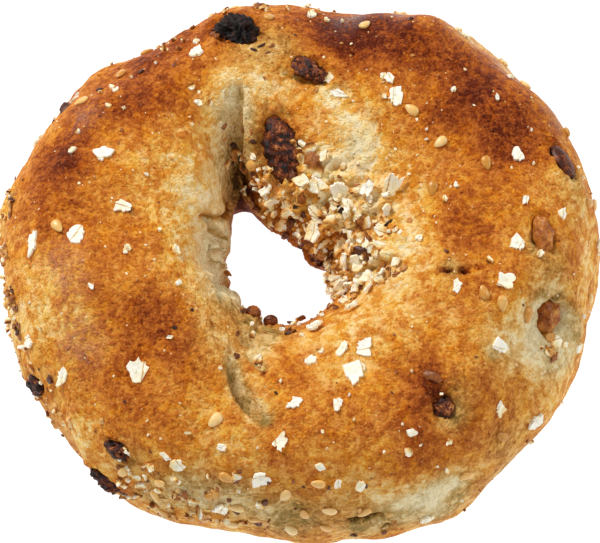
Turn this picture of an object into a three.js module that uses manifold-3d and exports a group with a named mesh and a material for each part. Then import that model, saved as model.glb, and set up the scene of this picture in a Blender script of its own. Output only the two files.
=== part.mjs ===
// A hand rolled bagel topped with oat flakes and seeds, with raisins and nuts set into its crust.
// Millimetres, +Z up, lying on its flat base. Ring angles run from +X towards +Y. Section angles run
// from the outer waist (0) over the crown (90) to the waist of the hole (180) and the base (270).
import * as THREE from 'three';
import { ParametricGeometry } from 'three/addons/geometries/ParametricGeometry.js';
import { mergeVertices } from 'three/addons/utils/BufferGeometryUtils.js';
import Module from 'manifold-3d';

const wasm = await Module();
wasm.setup();

const { clamp, euclideanModulo, lerp, smoothstep } = THREE.MathUtils;

// ---- driving dimensions ----

// The dough: values at stations spread evenly round the ring
const ring = {
  outerRadius: [
    57.6, 59.3, 58.5, 58.7, 54.9, 55.4, 54.0, 56.4, 58.1,
    58.5, 57.3, 55.4, 55.8, 52.5, 53.7, 56.0, 56.0, 56.7,
  ],
  holeRadius: [
    11.5, 13.0, 9.0, 9.7, 9.5, 10.1, 11.2, 14.8, 15.0, 11.8, 9.8, 8.6,
    7.3, 8.6, 7.7, 8.3, 10.3, 11.6, 12.2, 12.1, 12.2, 12.4, 13.2, 12.1,
  ],
  crownHeight: [ 38.0, 37.0, 36.0, 35.5, 37.5, 39.5, 40.0, 39.0, 37.0, 36.5, 37.0, 37.5 ],
  crownLean: [ 0.18, 0.34, 0.30, 0.12, 0.0, -0.02, 0.0, 0.0, 0.0, 0.0, 0.0, 0.05 ], // crown pushed outward
  holeCentre: { x: - 5.5, y: - 1.0 },
  waistOutside: 15.5, // height of the widest point
  waistInside: 17.0, // height of the narrowest point of the hole
  shoulder: { outer: 0.94, inner: 0.94, dome: 0.96, belly: 0.78 }, // powers that square the section off
  sink: 2.4, // how far the round underside would reach below the flat base
};
const ringCentre = { x: 0.0, y: - 0.93 }; // puts the middle of the whole at x = y = 0

// Folds where the rolled ends meet: plan points outward from the hole, then values spread evenly along
// them: depth, and width to the left and right of travel. Below the foot heights a fold runs out.
const folds = {
  joint: {
    path: [[ - 11.6, 8.5 ], [ - 12.2, 19.5 ], [ - 11.3, 31 ]], depth: [ 6.0, 6.5, 4.0, 0.8 ],
    left: [ 1.8, 4.0, 6.5, 4.0 ], right: [ 2.4, 1.7, 1.4, 1.1 ], power: 1.15, foot: [ 2, 9 ],
  },
  scallop: {
    path: [[ - 9.5, - 19 ], [ - 12.4, - 28 ], [ - 11.5, - 32.6 ], [ - 6.8, - 37.6 ]], depth: [ 1.6, 1.2 ],
    left: [ 5, 3 ], right: [ 1.6, 1.1 ], power: 1.5, foot: [ 13, 25 ],
  },
  corner: {
    path: [[ 7.4, - 10.7 ], [ 12.5, - 8.6 ], [ 20, - 6.4 ]], depth: [ 4.0, 0.4 ],
    left: [ 6, 3 ], right: [ 1.8, 1.3 ], power: 1.5, foot: [ 13, 25 ],
  },
  lap: {
    path: [[ 0.2, 32.4 ], [ 8.8, 29.2 ], [ 14.5, 22.5 ], [ 16.3, 15.3 ], [ 20, 9 ]], depth: [ 1.2, 1.0 ],
    left: [ 1.3, 1.3 ], right: [ 7, 5 ], power: 1.5, foot: [ 13, 25 ],
  },
};

// Bumps and dents: ring and section angle in degrees, reach and height
const bumps = [
  { at: [ 343, 46 ], reach: 5.5, height: - 3.2 }, // deep dent round a nut
  { at: [ 334, 60 ], reach: 8, height: - 1.3 },
  { at: [ 358, 76 ], reach: 4.5, height: - 1.2 }, // dent round the smaller nut
  { at: [ 309, 64 ], reach: 3.6, height: - 1.6 },
  { at: [ 150, 140 ], reach: 5, height: 1.5 }, // lip over the recess in the left wall of the hole
  { at: [ 185, 152 ], reach: 6, height: - 1.8 },
  { at: [ 45, 45 ], reach: 10, height: - 1.2 },
  { at: [ 30, 30 ], reach: 8, height: 1.0 },
  { at: [ 62, 50 ], reach: 8, height: 1.0 },
  { at: [ 105, 60 ], reach: 7, height: 0.9 },
  { at: [ 135, 50 ], reach: 9, height: - 1.5 },
  { at: [ 182, 15 ], reach: 9, height: - 1.4 },
];

// Gentle unevenness: waves of falling length over the whole surface
const swell = { waves: 9, longest: 40, shrink: 0.86, height: 0.36, fade: 0.9 };

// Raisins, nuts and kernels: ring and section angle, length, width and thickness, turn from the ring's
// direction, and the share of the thickness that stands out of the crust
const inclusions = [
  { name: 'raisin_hole', at: [ 88, 130 ], size: [ 12.4, 7.0, 5.0 ], turn: 107, proud: 0.24, kind: 'raisin' },
  { name: 'raisin_burnt', at: [ 104, 67 ], size: [ 8.4, 6.0, 5.0 ], turn: 149, proud: 0.30, kind: 'raisin' },
  { name: 'raisin_crown', at: [ 83, 94 ], size: [ 8.6, 4.0, 3.6 ], turn: 167, proud: 0.22, kind: 'raisin' },
  { name: 'raisin_pit', at: [ 309, 64 ], size: [ 4.8, 4.0, 3.6 ], turn: 30, proud: 0.20, kind: 'raisin' },
  { name: 'raisin_rim', at: [ 231, 6 ], size: [ 8.4, 3.8, 4.0 ], turn: 0, proud: 0.28, kind: 'raisin' },
  { name: 'raisin_left', at: [ 207, 12 ], size: [ 5.2, 4.2, 3.8 ], turn: 60, proud: 0.30, kind: 'raisin' },
  { name: 'raisin_low', at: [ 231, 35 ], size: [ 4.8, 2.8, 2.8 ], turn: 175, proud: 0.34, kind: 'raisin' },
  { name: 'kernel_side', at: [ 17, 56 ], size: [ 8.4, 3.8, 2.8 ], turn: 8, proud: 0.30, kind: 'kernel' },
  { name: 'kernel_hole', at: [ 252, 158 ], size: [ 3.8, 3.0, 3.0 ], turn: 90, proud: 0.77, kind: 'kernel' },
  { name: 'kernel_throat', at: [ 270, 161 ], size: [ 3.0, 2.4, 2.4 ], turn: 0, proud: 0.90, kind: 'kernel' },
  { name: 'nut_low', at: [ 343, 41 ], size: [ 7.0, 4.6, 4.2 ], turn: 5, proud: 0.34, kind: 'nut' },
  { name: 'nut_high', at: [ 359, 69 ], size: [ 7.0, 3.8, 3.8 ], turn: 13, proud: 0.34, kind: 'nut' },
];
const seatGap = 0.3; // clearance between an inclusion and its pocket

// Oat flakes laid by hand: ring and section angle, length, width, and the heading of the length in plan
const laidFlakes = [
  [ 27, 125, 7.2, 5.0, 80 ], [ 295, 97, 5.5, 4.3, 80 ], [ 225, 72, 4.7, 4.3, 100 ],
  [ 157, 81, 4.3, 3.3, 10 ], [ 183, 76, 4.0, 3.7, 50 ], [ 304, 108, 4.0, 3.7, 30 ],
  [ 345, 80, 3.9, 3.3, 0 ], [ 76, 98, 2.4, 2.2, 60 ], [ 53, 104, 4.2, 3.4, 60 ],
  [ 71, 105, 3.6, 1.8, 160 ], [ 329, 66, 3.6, 3.4, 20 ], [ 45, 139, 4.4, 3.6, 90 ],
  [ 33, 159, 4.2, 3.8, 70 ], [ 68, 144, 4.4, 2.6, 0 ], [ 262, 44, 3.6, 3.3, 0 ],
  [ 267, 66, 3.9, 2.9, 85 ], [ 254, 19, 3.6, 3.1, 60 ], [ 323, 19, 3.9, 3.1, 70 ],
  [ 183, 54, 5.5, 2.3, 70 ], [ 212, 38, 4.3, 2.3, 60 ], [ 116, 69, 3.8, 2.8, 70 ],
  [ 172, 96, 3.3, 2.7, 160 ], [ 340, 96, 3.0, 1.8, 70 ], [ 297, 111, 3.5, 1.6, 60 ],
  [ 318, 43, 3.3, 2.5, 90 ], [ 356, 80, 3.5, 2.9, 80 ], [ 273, 87, 3.5, 2.3, 20 ],
  [ 20, 84, 3.1, 2.7, 70 ], [ 285, 84, 2.8, 1.8, 80 ], [ 201, 32, 2.8, 2.6, 0 ],
  [ 244, 45, 2.8, 2.6, 120 ], [ 294, 135, 3.0, 2.3, 20 ], [ 283, 110, 2.7, 2.3, 90 ],
  [ 4, 60, 2.7, 1.8, 80 ], [ 58, 99, 2.5, 2.1, 100 ], [ 330, 165, 3.0, 2.4, 20 ],
  [ 46, 154, 3.6, 2.2, 150 ], [ 79, 172, 3.4, 3.0, 40 ], [ 91, 154, 3.4, 2.2, 10 ],
  [ 241, 48, 2.4, 1.3, 150 ], [ 34, 132, 3.4, 2.6, 80 ], [ 28, 141, 3.2, 2.2, 100 ],
  [ 21, 157, 4.4, 3.4, 60 ], [ 17, 145, 4.2, 3.2, 40 ], [ 9, 161, 3.8, 3.0, 110 ],
  [ 331, 148, 2.6, 2.0, 30 ], [ 333, 135, 2.8, 2.2, 90 ], [ 347, 125, 2.4, 1.8, 30 ],
  [ 318, 132, 2.8, 1.6, 40 ], [ 296, 169, 2.6, 2.2, 90 ],
];
const laidSeeds = [
  [ 46, 105 ], [ 32, 105 ], [ 20, 96 ], [ 18, 116 ], [ 180, 67 ], [ 340, 86 ], [ 340, 60 ], [ 339, 77 ],
  [ 315, 31 ], [ 305, 23 ], [ 257, 20 ], [ 256, 2 ], [ 251, 12 ], [ 252, 29 ], [ 261, 12 ], [ 250, 73 ],
  [ 97, 180 ], [ 103, 147 ],
];

// Loose toppings by region: how many, the ring and section angles they lie between, the longest and the
// shortest piece, and the space kept between neighbours
const scatter = [
  { kind: 'flake', count: 10, ring: [ - 20, 85 ], section: [ 128, 168 ], sizes: [ 3.4, 2.4 ], space: 3.0 },
  { kind: 'flake', count: 14, ring: [ 0, 360 ], section: [ 0, 60 ], sizes: [ 3.2, 2.4 ], space: 9.0 },
  { kind: 'seed', count: 12, ring: [ 226, 285 ], section: [ 0, 46 ], sizes: [ 3.0, 2.7 ], space: 4.5 },
  { kind: 'seed', count: 12, ring: [ 0, 360 ], section: [ 0, 70 ], sizes: [ 3.0, 2.7 ], space: 9.0 },
];
const flake = { sides: 6, thickness: 2.2, rise: 0.6, width: 0.8, jag: 0.26 };
const seed = { length: [ 2.7, 3.1 ], width: 0.62, thickness: 0.53, taper: 0.28, sunk: 0.15 };

const doughGrid = { around: 80, section: 34 };
const inclusionDetail = 1; // each edge of the icosahedron is split in two
const drawSeeds = { places: 4211, shapes: 907 };

const finishes = {
  dough: { color: 0xc98a45, roughness: 0.62 },
  raisin: { color: 0x33150c, roughness: 0.45 },
  kernel: { color: 0x5c3417, roughness: 0.5 },
  nut: { color: 0x9a6228, roughness: 0.6 },
};

// ---- form of the dough ----

const degrees = Math.PI / 180;

// A smooth closed curve through equally spaced values
function around( stations, ringAngle ) {
  const count = stations.length;
  const place = euclideanModulo( ringAngle / ( 2 * Math.PI ) * count, count );
  const index = Math.floor( place );
  const f = place - index;
  const [ a, b, c, d ] = [ - 1, 0, 1, 2 ].map( ( step ) => stations[ ( index + step + count ) % count ] );
  return b + 0.5 * f * ( c - a + f * ( 2 * a - 5 * b + 4 * c - d + f * ( 3 * ( b - c ) + d - a ) ) );
}

// The plain rounded section, before folds and bumps
function plainPoint( ringAngle, sectionAngle ) {
  const outer = around( ring.outerRadius, ringAngle );
  const hole = around( ring.holeRadius, ringAngle );
  const out = Math.cos( sectionAngle );
  const up = Math.max( Math.sin( sectionAngle ), 0 );
  const down = Math.max( - Math.sin( sectionAngle ), 0 );

  const corner = out > 0 ? ring.shoulder.outer : ring.shoulder.inner;
  let across = Math.sign( out ) * Math.abs( out ) ** corner;
  across += around( ring.crownLean, ringAngle ) * up * ( 1 - across ** 2 );

  const waist = lerp( ring.waistOutside, ring.waistInside, ( 1 - across ) / 2 );
  const crown = around( ring.crownHeight, ringAngle );
  const height = sectionAngle <= Math.PI
    ? waist + ( crown - waist ) * up ** ring.shoulder.dome
    : waist - ( waist + ring.sink ) * down ** ring.shoulder.belly;

  const spoke = new THREE.Vector3( Math.cos( ringAngle ), Math.sin( ringAngle ), 0 );
  const outside = spoke.clone().multiplyScalar( outer );
  const inside = new THREE.Vector3( ring.holeCentre.x, ring.holeCentre.y, 0 ).addScaledVector( spoke, hole );
  const point = inside.lerp( outside, ( 1 + across ) / 2 );
  point.z = height;
  return point;
}

// The value at a share of the way along evenly spaced values
function partWay( values, share ) {
  const place = share * ( values.length - 1 );
  const index = Math.min( Math.floor( place ), values.length - 2 );
  return lerp( values[ index ], values[ index + 1 ], place - index );
}

// The nearest place on a line of plan points: distance, share of its length, and the direction to its left
function alongPath( point, path ) {
  const places = path.map( ( [ x, y ] ) => new THREE.Vector3( x, y, 0 ) );
  const flat = new THREE.Vector3( point.x, point.y, 0 );
  const total = places.slice( 1 ).reduce( ( sum, place, k ) => sum + place.distanceTo( places[ k ] ), 0 );
  let nearest = { distance: Infinity };
  let run = 0;
  for ( let k = 1; k < places.length; k ++ ) {
    const direction = places[ k ].clone().sub( places[ k - 1 ] );
    const length = direction.length();
    direction.normalize();
    const left = new THREE.Vector3( - direction.y, direction.x, 0 );
    const offset = flat.clone().sub( places[ k - 1 ] );
    const along = clamp( offset.dot( direction ), 0, length );
    const distance = offset.clone().addScaledVector( direction, - along ).length();
    if ( distance < nearest.distance ) {
      nearest = { distance, share: ( run + along ) / total, left, isLeft: offset.dot( left ) > 0 };
    }
    run += length;
  }
  return nearest;
}

// How a fold moves the surface: into the dough, but never sideways across the fold
function foldMove( point, normal, fold ) {
  const { distance, share, left, isLeft } = alongPath( point, fold.path );
  const width = partWay( isLeft ? fold.left : fold.right, share );
  const fall = Math.exp( - ( ( distance / width ) ** fold.power ) ) * smoothstep( point.z, ...fold.foot );
  const move = left.clone().multiplyScalar( normal.dot( left ) ).sub( normal );
  return move.multiplyScalar( partWay( fold.depth, share ) * fall );
}

const bumpCentres = bumps.map( ( { at } ) => plainPoint( at[ 0 ] * degrees, at[ 1 ] * degrees ) );

function bumpHeight( point ) {
  return bumps.reduce( ( sum, bump, k ) =>
    sum + bump.height * Math.exp( - point.distanceToSquared( bumpCentres[ k ] ) / bump.reach ** 2 ), 0 );
}

function swellHeight( point ) {
  let sum = 0;
  let height = swell.height;
  let length = swell.longest;
  for ( let wave = 1; wave <= swell.waves; wave ++ ) {
    const run = point.x * Math.cos( 2.4 * wave ) + point.y * Math.sin( 2.4 * wave )
      + 0.8 * point.z * Math.cos( 1.7 * wave );
    sum += height * Math.sin( run * 2 * Math.PI / length + 1.3 * wave ** 2 );
    height *= swell.fade;
    length *= swell.shrink;
  }
  return sum;
}

function normalOf( surface, ringAngle, sectionAngle ) {
  const step = 1e-3;
  const along = surface( ringAngle + step, sectionAngle ).sub( surface( ringAngle - step, sectionAngle ) );
  const round = surface( ringAngle, sectionAngle + step ).sub( surface( ringAngle, sectionAngle - step ) );
  return along.cross( round ).normalize();
}

function doughPoint( ringAngle, sectionAngle ) {
  const turned = euclideanModulo( sectionAngle, 2 * Math.PI );
  const plain = plainPoint( ringAngle, turned );
  const normal = normalOf( plainPoint, ringAngle, turned );
  const rise = bumpHeight( plain ) + swellHeight( plain ) * smoothstep( plain.z, 0, 8 );
  const point = plain.clone().addScaledVector( normal, rise );
  for ( const fold of Object.values( folds ) ) {
    point.add( foldMove( plain, normal, fold ) );
  }
  point.z = Math.max( point.z, 0 );
  return point;
}

// ---- solids ----

// Vertices shared by position alone, so that the mesh is closed
function closed( geometry ) {
  geometry.deleteAttribute( 'normal' );
  geometry.deleteAttribute( 'uv' );
  return mergeVertices( geometry, 1e-4 );
}

function toSolid( geometry ) {
  const shape = closed( geometry );
  return new wasm.Manifold( new wasm.Mesh( {
    numProp: 3,
    vertProperties: new Float32Array( shape.attributes.position.array ),
    triVerts: new Uint32Array( shape.index.array ),
  } ) );
}

function toGeometry( solid ) {
  const mesh = solid.getMesh();
  const geometry = new THREE.BufferGeometry();
  geometry.setAttribute( 'position', new THREE.BufferAttribute( mesh.vertProperties, 3 ) );
  geometry.setIndex( new THREE.BufferAttribute( mesh.triVerts, 1 ) );
  geometry.computeVertexNormals();
  return geometry;
}

function doughSolid() {
  const surface = ( u, v, target ) => {
    target.copy( doughPoint( ( u % 1 ) * 2 * Math.PI, ( v % 1 ) * 2 * Math.PI ) );
  };
  return toSolid( new ParametricGeometry( surface, doughGrid.around, doughGrid.section ) );
}

// Lays a piece made in its own X-Y plane on the crust, its X along the ring before the turn
function layOn( at, turn, lift ) {
  const [ ringAngle, sectionAngle ] = at.map( ( angle ) => angle * degrees );
  const up = normalOf( doughPoint, ringAngle, sectionAngle );
  const side = new THREE.Vector3( - Math.sin( ringAngle ), Math.cos( ringAngle ), 0 );
  side.addScaledVector( up, - side.dot( up ) ).normalize();
  const across = up.clone().cross( side );
  const place = doughPoint( ringAngle, sectionAngle ).addScaledVector( up, lift );
  const matrix = new THREE.Matrix4().makeBasis( side, across, up );
  matrix.multiply( new THREE.Matrix4().makeRotationZ( turn * degrees ) );
  return matrix.setPosition( place );
}

// A repeatable draw of numbers between two bounds
function makeDraw( seedNumber ) {
  let state = seedNumber;
  return ( low, high ) => {
    state = state * 16807 % 2147483647;
    return low + ( high - low ) * state / 2147483647;
  };
}

const drawPlace = makeDraw( drawSeeds.places );
const drawShape = makeDraw( drawSeeds.shapes );

// An oat flake: a plate with a broken outline, sunk into the crust for most of its thickness
function flakeGeometry( length, width ) {
  const outline = [];
  for ( let side = 0; side < flake.sides; side ++ ) {
    const angle = side / flake.sides * 2 * Math.PI;
    const reach = 0.5 * ( 1 - drawShape( 0, flake.jag ) );
    const corner = new THREE.Vector2( length * Math.cos( angle ), width * Math.sin( angle ) );
    outline.push( corner.multiplyScalar( reach ) );
  }
  const plate = new THREE.ExtrudeGeometry( new THREE.Shape( outline ), {
    depth: flake.thickness, bevelEnabled: false,
  } );
  return plate.translate( 0, 0, flake.rise - flake.thickness );
}

// A sesame seed: an egg outline, flattened and pointed at one end
function seedGeometry( length ) {
  const grain = new THREE.IcosahedronGeometry( 0.5, 0 );
  const position = grain.attributes.position;
  for ( let k = 0; k < position.count; k ++ ) {
    const x = position.getX( k );
    const swell = 1 - seed.taper * x;
    const y = position.getY( k ) * seed.width * swell;
    const z = position.getZ( k ) * seed.thickness * swell;
    position.setXYZ( k, x * length, y * length, z * length );
  }
  return grain;
}

// A raisin is an uneven lump, a kernel is smooth and pointed, and a nut is a broken lump
const inclusionForms = {
  raisin: ( p, twist ) => 1 + 0.07 * Math.sin( 4.5 * p.y - 3.1 * p.x + 2 * twist )
    + 0.13 * Math.sin( 2.6 * p.x + 2.1 * p.y + twist ) * Math.cos( 2.9 * p.z - 1.7 * p.x ),
  kernel: ( p ) => 1 - 0.16 * Math.max( p.x, 0 ) ** 2,
  nut: ( p ) => 1 + 0.12 * Math.sin( 5 * p.x + 2 ) * Math.sin( 6 * p.y + 1 ) - 0.12 * Math.abs( p.z ) ** 3,
};

function inclusionGeometry( { at, size, kind }, grow ) {
  const shape = new THREE.IcosahedronGeometry( 1, inclusionDetail );
  const position = shape.attributes.position;
  const half = new THREE.Vector3( ...size ).multiplyScalar( 0.5 );
  for ( let k = 0; k < position.count; k ++ ) {
    const point = new THREE.Vector3().fromBufferAttribute( position, k );
    const reach = half.clone().multiplyScalar( inclusionForms[ kind ]( point, at[ 0 ] ) ).addScalar( grow );
    position.setXYZ( k, ...point.multiply( reach ) );
  }
  return shape;
}

function inclusionMatrix( { at, turn, size, proud } ) {
  return layOn( at, turn, size[ 2 ] * ( proud - 0.5 ) );
}

// ---- toppings ----

const seats = inclusions.map( ( piece ) => ( {
  centre: new THREE.Vector3().setFromMatrixPosition( inclusionMatrix( piece ) ),
  reach: piece.size[ 0 ] / 2 + 1,
} ) );

function isClear( point, length, others, space ) {
  const offSeats = seats.every( ( seat ) => point.distanceTo( seat.centre ) > seat.reach + length / 2 );
  return offSeats && others.every( ( other ) => point.distanceTo( other ) > space );
}

// Places for the loose toppings, clear of the inclusions and of each other
function scatterPlaces( taken ) {
  const places = [];
  for ( const { kind, count, ring: [ from, to ], section, sizes, space } of scatter ) {
    for ( let k = 0; k < count; k ++ ) {
      const length = lerp( ...sizes, k / count );
      for ( let attempt = 0; attempt < 40; attempt ++ ) {
        const at = [ drawPlace( from, to ), drawPlace( ...section ) ];
        const point = doughPoint( at[ 0 ] * degrees, at[ 1 ] * degrees );
        if ( ! isClear( point, length, taken, space ) ) continue;
        places.push( { kind, at, length, turn: drawPlace( 0, 360 ) } );
        taken.push( point );
        break;
      }
    }
  }
  return places;
}

function toppingPieces() {
  const taken = [ ...laidFlakes, ...laidSeeds ].map( ( [ ringAngle, sectionAngle ] ) =>
    doughPoint( ringAngle * degrees, sectionAngle * degrees ) );
  const pieces = laidFlakes.map( ( [ ringAngle, sectionAngle, length, width, heading ] ) =>
    flakeGeometry( length, width ).applyMatrix4(
      layOn( [ ringAngle, sectionAngle ], heading - ringAngle - 90, 0 ) ) );
  for ( const at of laidSeeds ) {
    pieces.push( seedGeometry( drawShape( ...seed.length ) ).applyMatrix4(
      layOn( at, drawShape( 0, 360 ), - seed.sunk ) ) );
  }
  for ( const { kind, at, length, turn } of scatterPlaces( taken ) ) {
    const piece = kind === 'flake' ? flakeGeometry( length, length * flake.width ) : seedGeometry( length );
    pieces.push( piece.applyMatrix4( layOn( at, turn, kind === 'flake' ? 0 : - seed.sunk ) ) );
  }
  return pieces;
}

// ---- the pieces ----

function meshOf( name, geometry, finish ) {
  const material = new THREE.MeshStandardMaterial( { ...finishes[ finish ], metalness: 0 } );
  const mesh = new THREE.Mesh( geometry, material );
  mesh.name = name;
  return mesh;
}

function makeDough() {
  let solid = doughSolid();
  for ( const piece of toppingPieces() ) {
    solid = solid.add( toSolid( piece ) );
  }
  for ( const piece of inclusions ) {
    const seat = inclusionGeometry( piece, seatGap ).applyMatrix4( inclusionMatrix( piece ) );
    solid = solid.subtract( toSolid( seat ) );
  }
  return meshOf( 'dough', toGeometry( solid ), 'dough' );
}

function makeInclusion( piece ) {
  const geometry = closed( inclusionGeometry( piece, 0 ) );
  geometry.computeVertexNormals();
  const mesh = meshOf( piece.name, geometry, piece.kind );
  mesh.applyMatrix4( inclusionMatrix( piece ) );
  return mesh;
}

const bagel = new THREE.Group();
bagel.add( makeDough() );
bagel.add( ...inclusions.map( makeInclusion ) );
bagel.position.set( ringCentre.x, ringCentre.y, 0 );

export default bagel;
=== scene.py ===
import math
import bmesh
import bpy
import numpy as np
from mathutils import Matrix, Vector, noise


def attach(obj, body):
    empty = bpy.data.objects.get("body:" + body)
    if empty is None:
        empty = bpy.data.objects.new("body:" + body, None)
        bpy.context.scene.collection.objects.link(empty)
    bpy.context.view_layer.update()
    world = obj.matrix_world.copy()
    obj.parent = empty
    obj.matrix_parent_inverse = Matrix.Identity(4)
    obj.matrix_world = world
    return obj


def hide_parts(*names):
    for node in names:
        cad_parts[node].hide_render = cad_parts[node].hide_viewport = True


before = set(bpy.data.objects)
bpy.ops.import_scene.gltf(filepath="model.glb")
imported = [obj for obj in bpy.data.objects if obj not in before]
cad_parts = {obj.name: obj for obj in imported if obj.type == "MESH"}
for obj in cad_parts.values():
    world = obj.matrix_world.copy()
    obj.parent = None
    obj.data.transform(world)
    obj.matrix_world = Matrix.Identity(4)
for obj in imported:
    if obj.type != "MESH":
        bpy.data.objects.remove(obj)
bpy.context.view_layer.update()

mm = 0.001
print("frame: loaded", len(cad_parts), "solids")


# Small helpers for numbers

def smoothStep(value, low, high):
    share = np.clip((value - low) / (high - low), 0, 1)
    return share * share * (3 - 2 * share)


def blendTo(a, b, share):
    return a + (b - a) * share


def bell(distance, reach):
    return np.exp(-(distance / reach) ** 2)


def unit(vectors):
    return vectors / np.maximum(np.linalg.norm(vectors, axis=-1, keepdims=True), 1e-9)


def noiseAt(points, size, seed):
    moved = np.asarray(points).reshape(-1, 3) / size + seed * 17.31
    values = np.array([noise.noise(place) for place in moved.tolist()])
    return values.reshape(np.shape(points)[:-1])


# Fixed starts for all that looks random
noiseSeeds = {"waves": 0, "looseCrumbs": 3, "tornCrumb": 5, "patches": 20, "ledge": 31, "seats": 33,
              "wrinkles": 41, "tornSide": 61}
drawSeeds = {"scatter": 4211, "relief": 5231, "toppings": 7001, "crumbs": 9177}


# A repeatable draw, the same one that lays the solid's toppings
class Draw:
    def __init__(self, seed):
        self.state = seed

    def between(self, low, high):
        self.state = self.state * 16807 % 2147483647
        return low + (high - low) * self.state / 2147483647


# The form of the dough in millimetres. Ring angles run from +X towards +Y, section angles from the
# outer waist (0) over the crown (90) to the waist of the hole (180) and the base (270).
ring = {
    "outerRadius": [57.6, 59.3, 58.5, 58.7, 54.9, 55.4, 54.0, 56.4, 58.1,
                    58.5, 57.3, 55.4, 55.8, 52.5, 53.7, 56.0, 56.0, 56.7],
    "holeRadius": [11.5, 13.0, 9.0, 9.7, 9.5, 10.1, 11.2, 14.8, 15.0, 11.8, 9.8, 8.6,
                   7.3, 8.6, 7.7, 8.3, 10.3, 11.6, 12.2, 12.1, 12.2, 12.4, 13.2, 12.1],
    "crownHeight": [38.0, 37.0, 36.0, 35.5, 37.5, 39.5, 40.0, 39.0, 37.0, 36.5, 37.0, 37.5],
    "crownLean": [0.18, 0.34, 0.30, 0.12, 0.0, -0.02, 0.0, 0.0, 0.0, 0.0, 0.0, 0.05],
    "holeCentre": (-5.5, -1.0),
    "centre": (0.0, -0.93),  # puts the middle of the whole at x = y = 0
    "waistOutside": 15.5,
    "waistInside": 17.0,
    "shoulderOuter": 0.94,
    "shoulderInner": 0.94,
    "dome": 0.96,
    "belly": 0.78,
    "sink": 2.4,
}

# Folds where the rolled ends meet: plan points outward from the hole, then values spread evenly along them:
# depth, and width to the left and right of travel. Below the foot heights the fold runs out.
folds = {
    "joint": {"path": [(-11.6, 8.5), (-12.2, 19.5), (-11.3, 31)], "depth": (6.0, 6.5, 4.0, 0.8),
              "left": (1.8, 4.0, 6.5, 4.0), "right": (2.4, 1.7, 1.4, 1.1), "power": 1.15, "foot": (2, 9)},
    "scallop": {"path": [(-9.5, -19), (-12.4, -28), (-11.5, -32.6), (-6.8, -37.6)], "depth": (1.6, 1.2),
                "left": (5, 3), "right": (1.6, 1.1), "power": 1.5, "foot": (13, 25)},
    "corner": {"path": [(7.4, -10.7), (12.5, -8.6), (20, -6.4)], "depth": (4.0, 0.4),
               "left": (6, 3), "right": (1.8, 1.3), "power": 1.5, "foot": (13, 25)},
    "lap": {"path": [(0.2, 32.4), (8.8, 29.2), (14.5, 22.5), (16.3, 15.3), (20, 9)], "depth": (1.2, 1.0),
            "left": (1.3, 1.3), "right": (7, 5), "power": 1.5, "foot": (13, 25)},
}

# Bumps and dents: ring angle, section angle, reach, height
bumps = [
    (343, 46, 5.5, -3.2), (334, 60, 8, -1.3), (358, 76, 4.5, -1.2), (309, 64, 3.6, -1.6),
    (150, 140, 5, 1.5), (185, 152, 6, -1.8), (45, 45, 10, -1.2), (30, 30, 8, 1.0), (62, 50, 8, 1.0),
    (105, 60, 7, 0.9), (135, 50, 9, -1.5), (182, 15, 9, -1.4),
]
swell = {"waves": 9, "longest": 40.0, "shrink": 0.86, "height": 0.36, "fade": 0.9}


def around(stations, ringAngle):
    values = np.array(stations)
    place = np.mod(ringAngle / (2 * np.pi) * len(values), len(values))
    index = np.floor(place).astype(int)
    f = place - index
    a, b, c, d = (values[(index + step) % len(values)] for step in (-1, 0, 1, 2))
    return b + 0.5 * f * (c - a + f * (2 * a - 5 * b + 4 * c - d + f * (3 * (b - c) + d - a)))


def plainPoint(ringAngle, sectionAngle):
    spokeX, spokeY = np.cos(ringAngle), np.sin(ringAngle)
    out = np.cos(sectionAngle)
    up = np.maximum(np.sin(sectionAngle), 0)
    down = np.maximum(-np.sin(sectionAngle), 0)
    corner = np.where(out > 0, ring["shoulderOuter"], ring["shoulderInner"])
    across = np.sign(out) * np.abs(out) ** corner
    across = across + around(ring["crownLean"], ringAngle) * up * (1 - across ** 2)
    waist = blendTo(ring["waistOutside"], ring["waistInside"], (1 - across) / 2)
    crown = around(ring["crownHeight"], ringAngle)
    above = waist + (crown - waist) * up ** ring["dome"]
    below = waist - (waist + ring["sink"]) * down ** ring["belly"]
    outer = around(ring["outerRadius"], ringAngle)
    hole = around(ring["holeRadius"], ringAngle)
    share = (1 + across) / 2
    x = blendTo(ring["holeCentre"][0] + hole * spokeX, outer * spokeX, share)
    y = blendTo(ring["holeCentre"][1] + hole * spokeY, outer * spokeY, share)
    return np.stack([x, y, np.where(np.sin(sectionAngle) >= 0, above, below)], -1)


def normalOf(surface, ringAngle, sectionAngle):
    step = 1e-3
    along = surface(ringAngle + step, sectionAngle) - surface(ringAngle - step, sectionAngle)
    across = surface(ringAngle, sectionAngle + step) - surface(ringAngle, sectionAngle - step)
    return unit(np.cross(along, across))


# Nearest place on a line of plan points: distance, share of its length, and the direction to its left there
def alongPath(points, path):
    x, y = points[..., 0], points[..., 1]
    corners = np.array(path, float)
    lengths = np.hypot(*np.diff(corners, axis=0).T)
    nearest = np.full(x.shape, np.inf)
    share = np.zeros(x.shape)
    left = np.zeros(points.shape)
    isLeft = np.zeros(x.shape, bool)
    run = 0.0
    for start, end, length in zip(corners[:-1], corners[1:], lengths):
        dx, dy = (end - start) / length
        along = np.clip((x - start[0]) * dx + (y - start[1]) * dy, 0, length)
        offX, offY = x - start[0] - along * dx, y - start[1] - along * dy
        distance = np.hypot(offX, offY)
        closer = distance < nearest
        nearest = np.where(closer, distance, nearest)
        share = np.where(closer, (run + along) / lengths.sum(), share)
        isLeft = np.where(closer, dx * (y - start[1]) - dy * (x - start[0]) > 0, isLeft)
        left = np.where(closer[..., None], (-dy, dx, 0.0), left)
        run += length
    return nearest, share, isLeft, left


def partWay(values, share):
    return np.interp(share, np.linspace(0, 1, len(values)), values)


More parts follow.
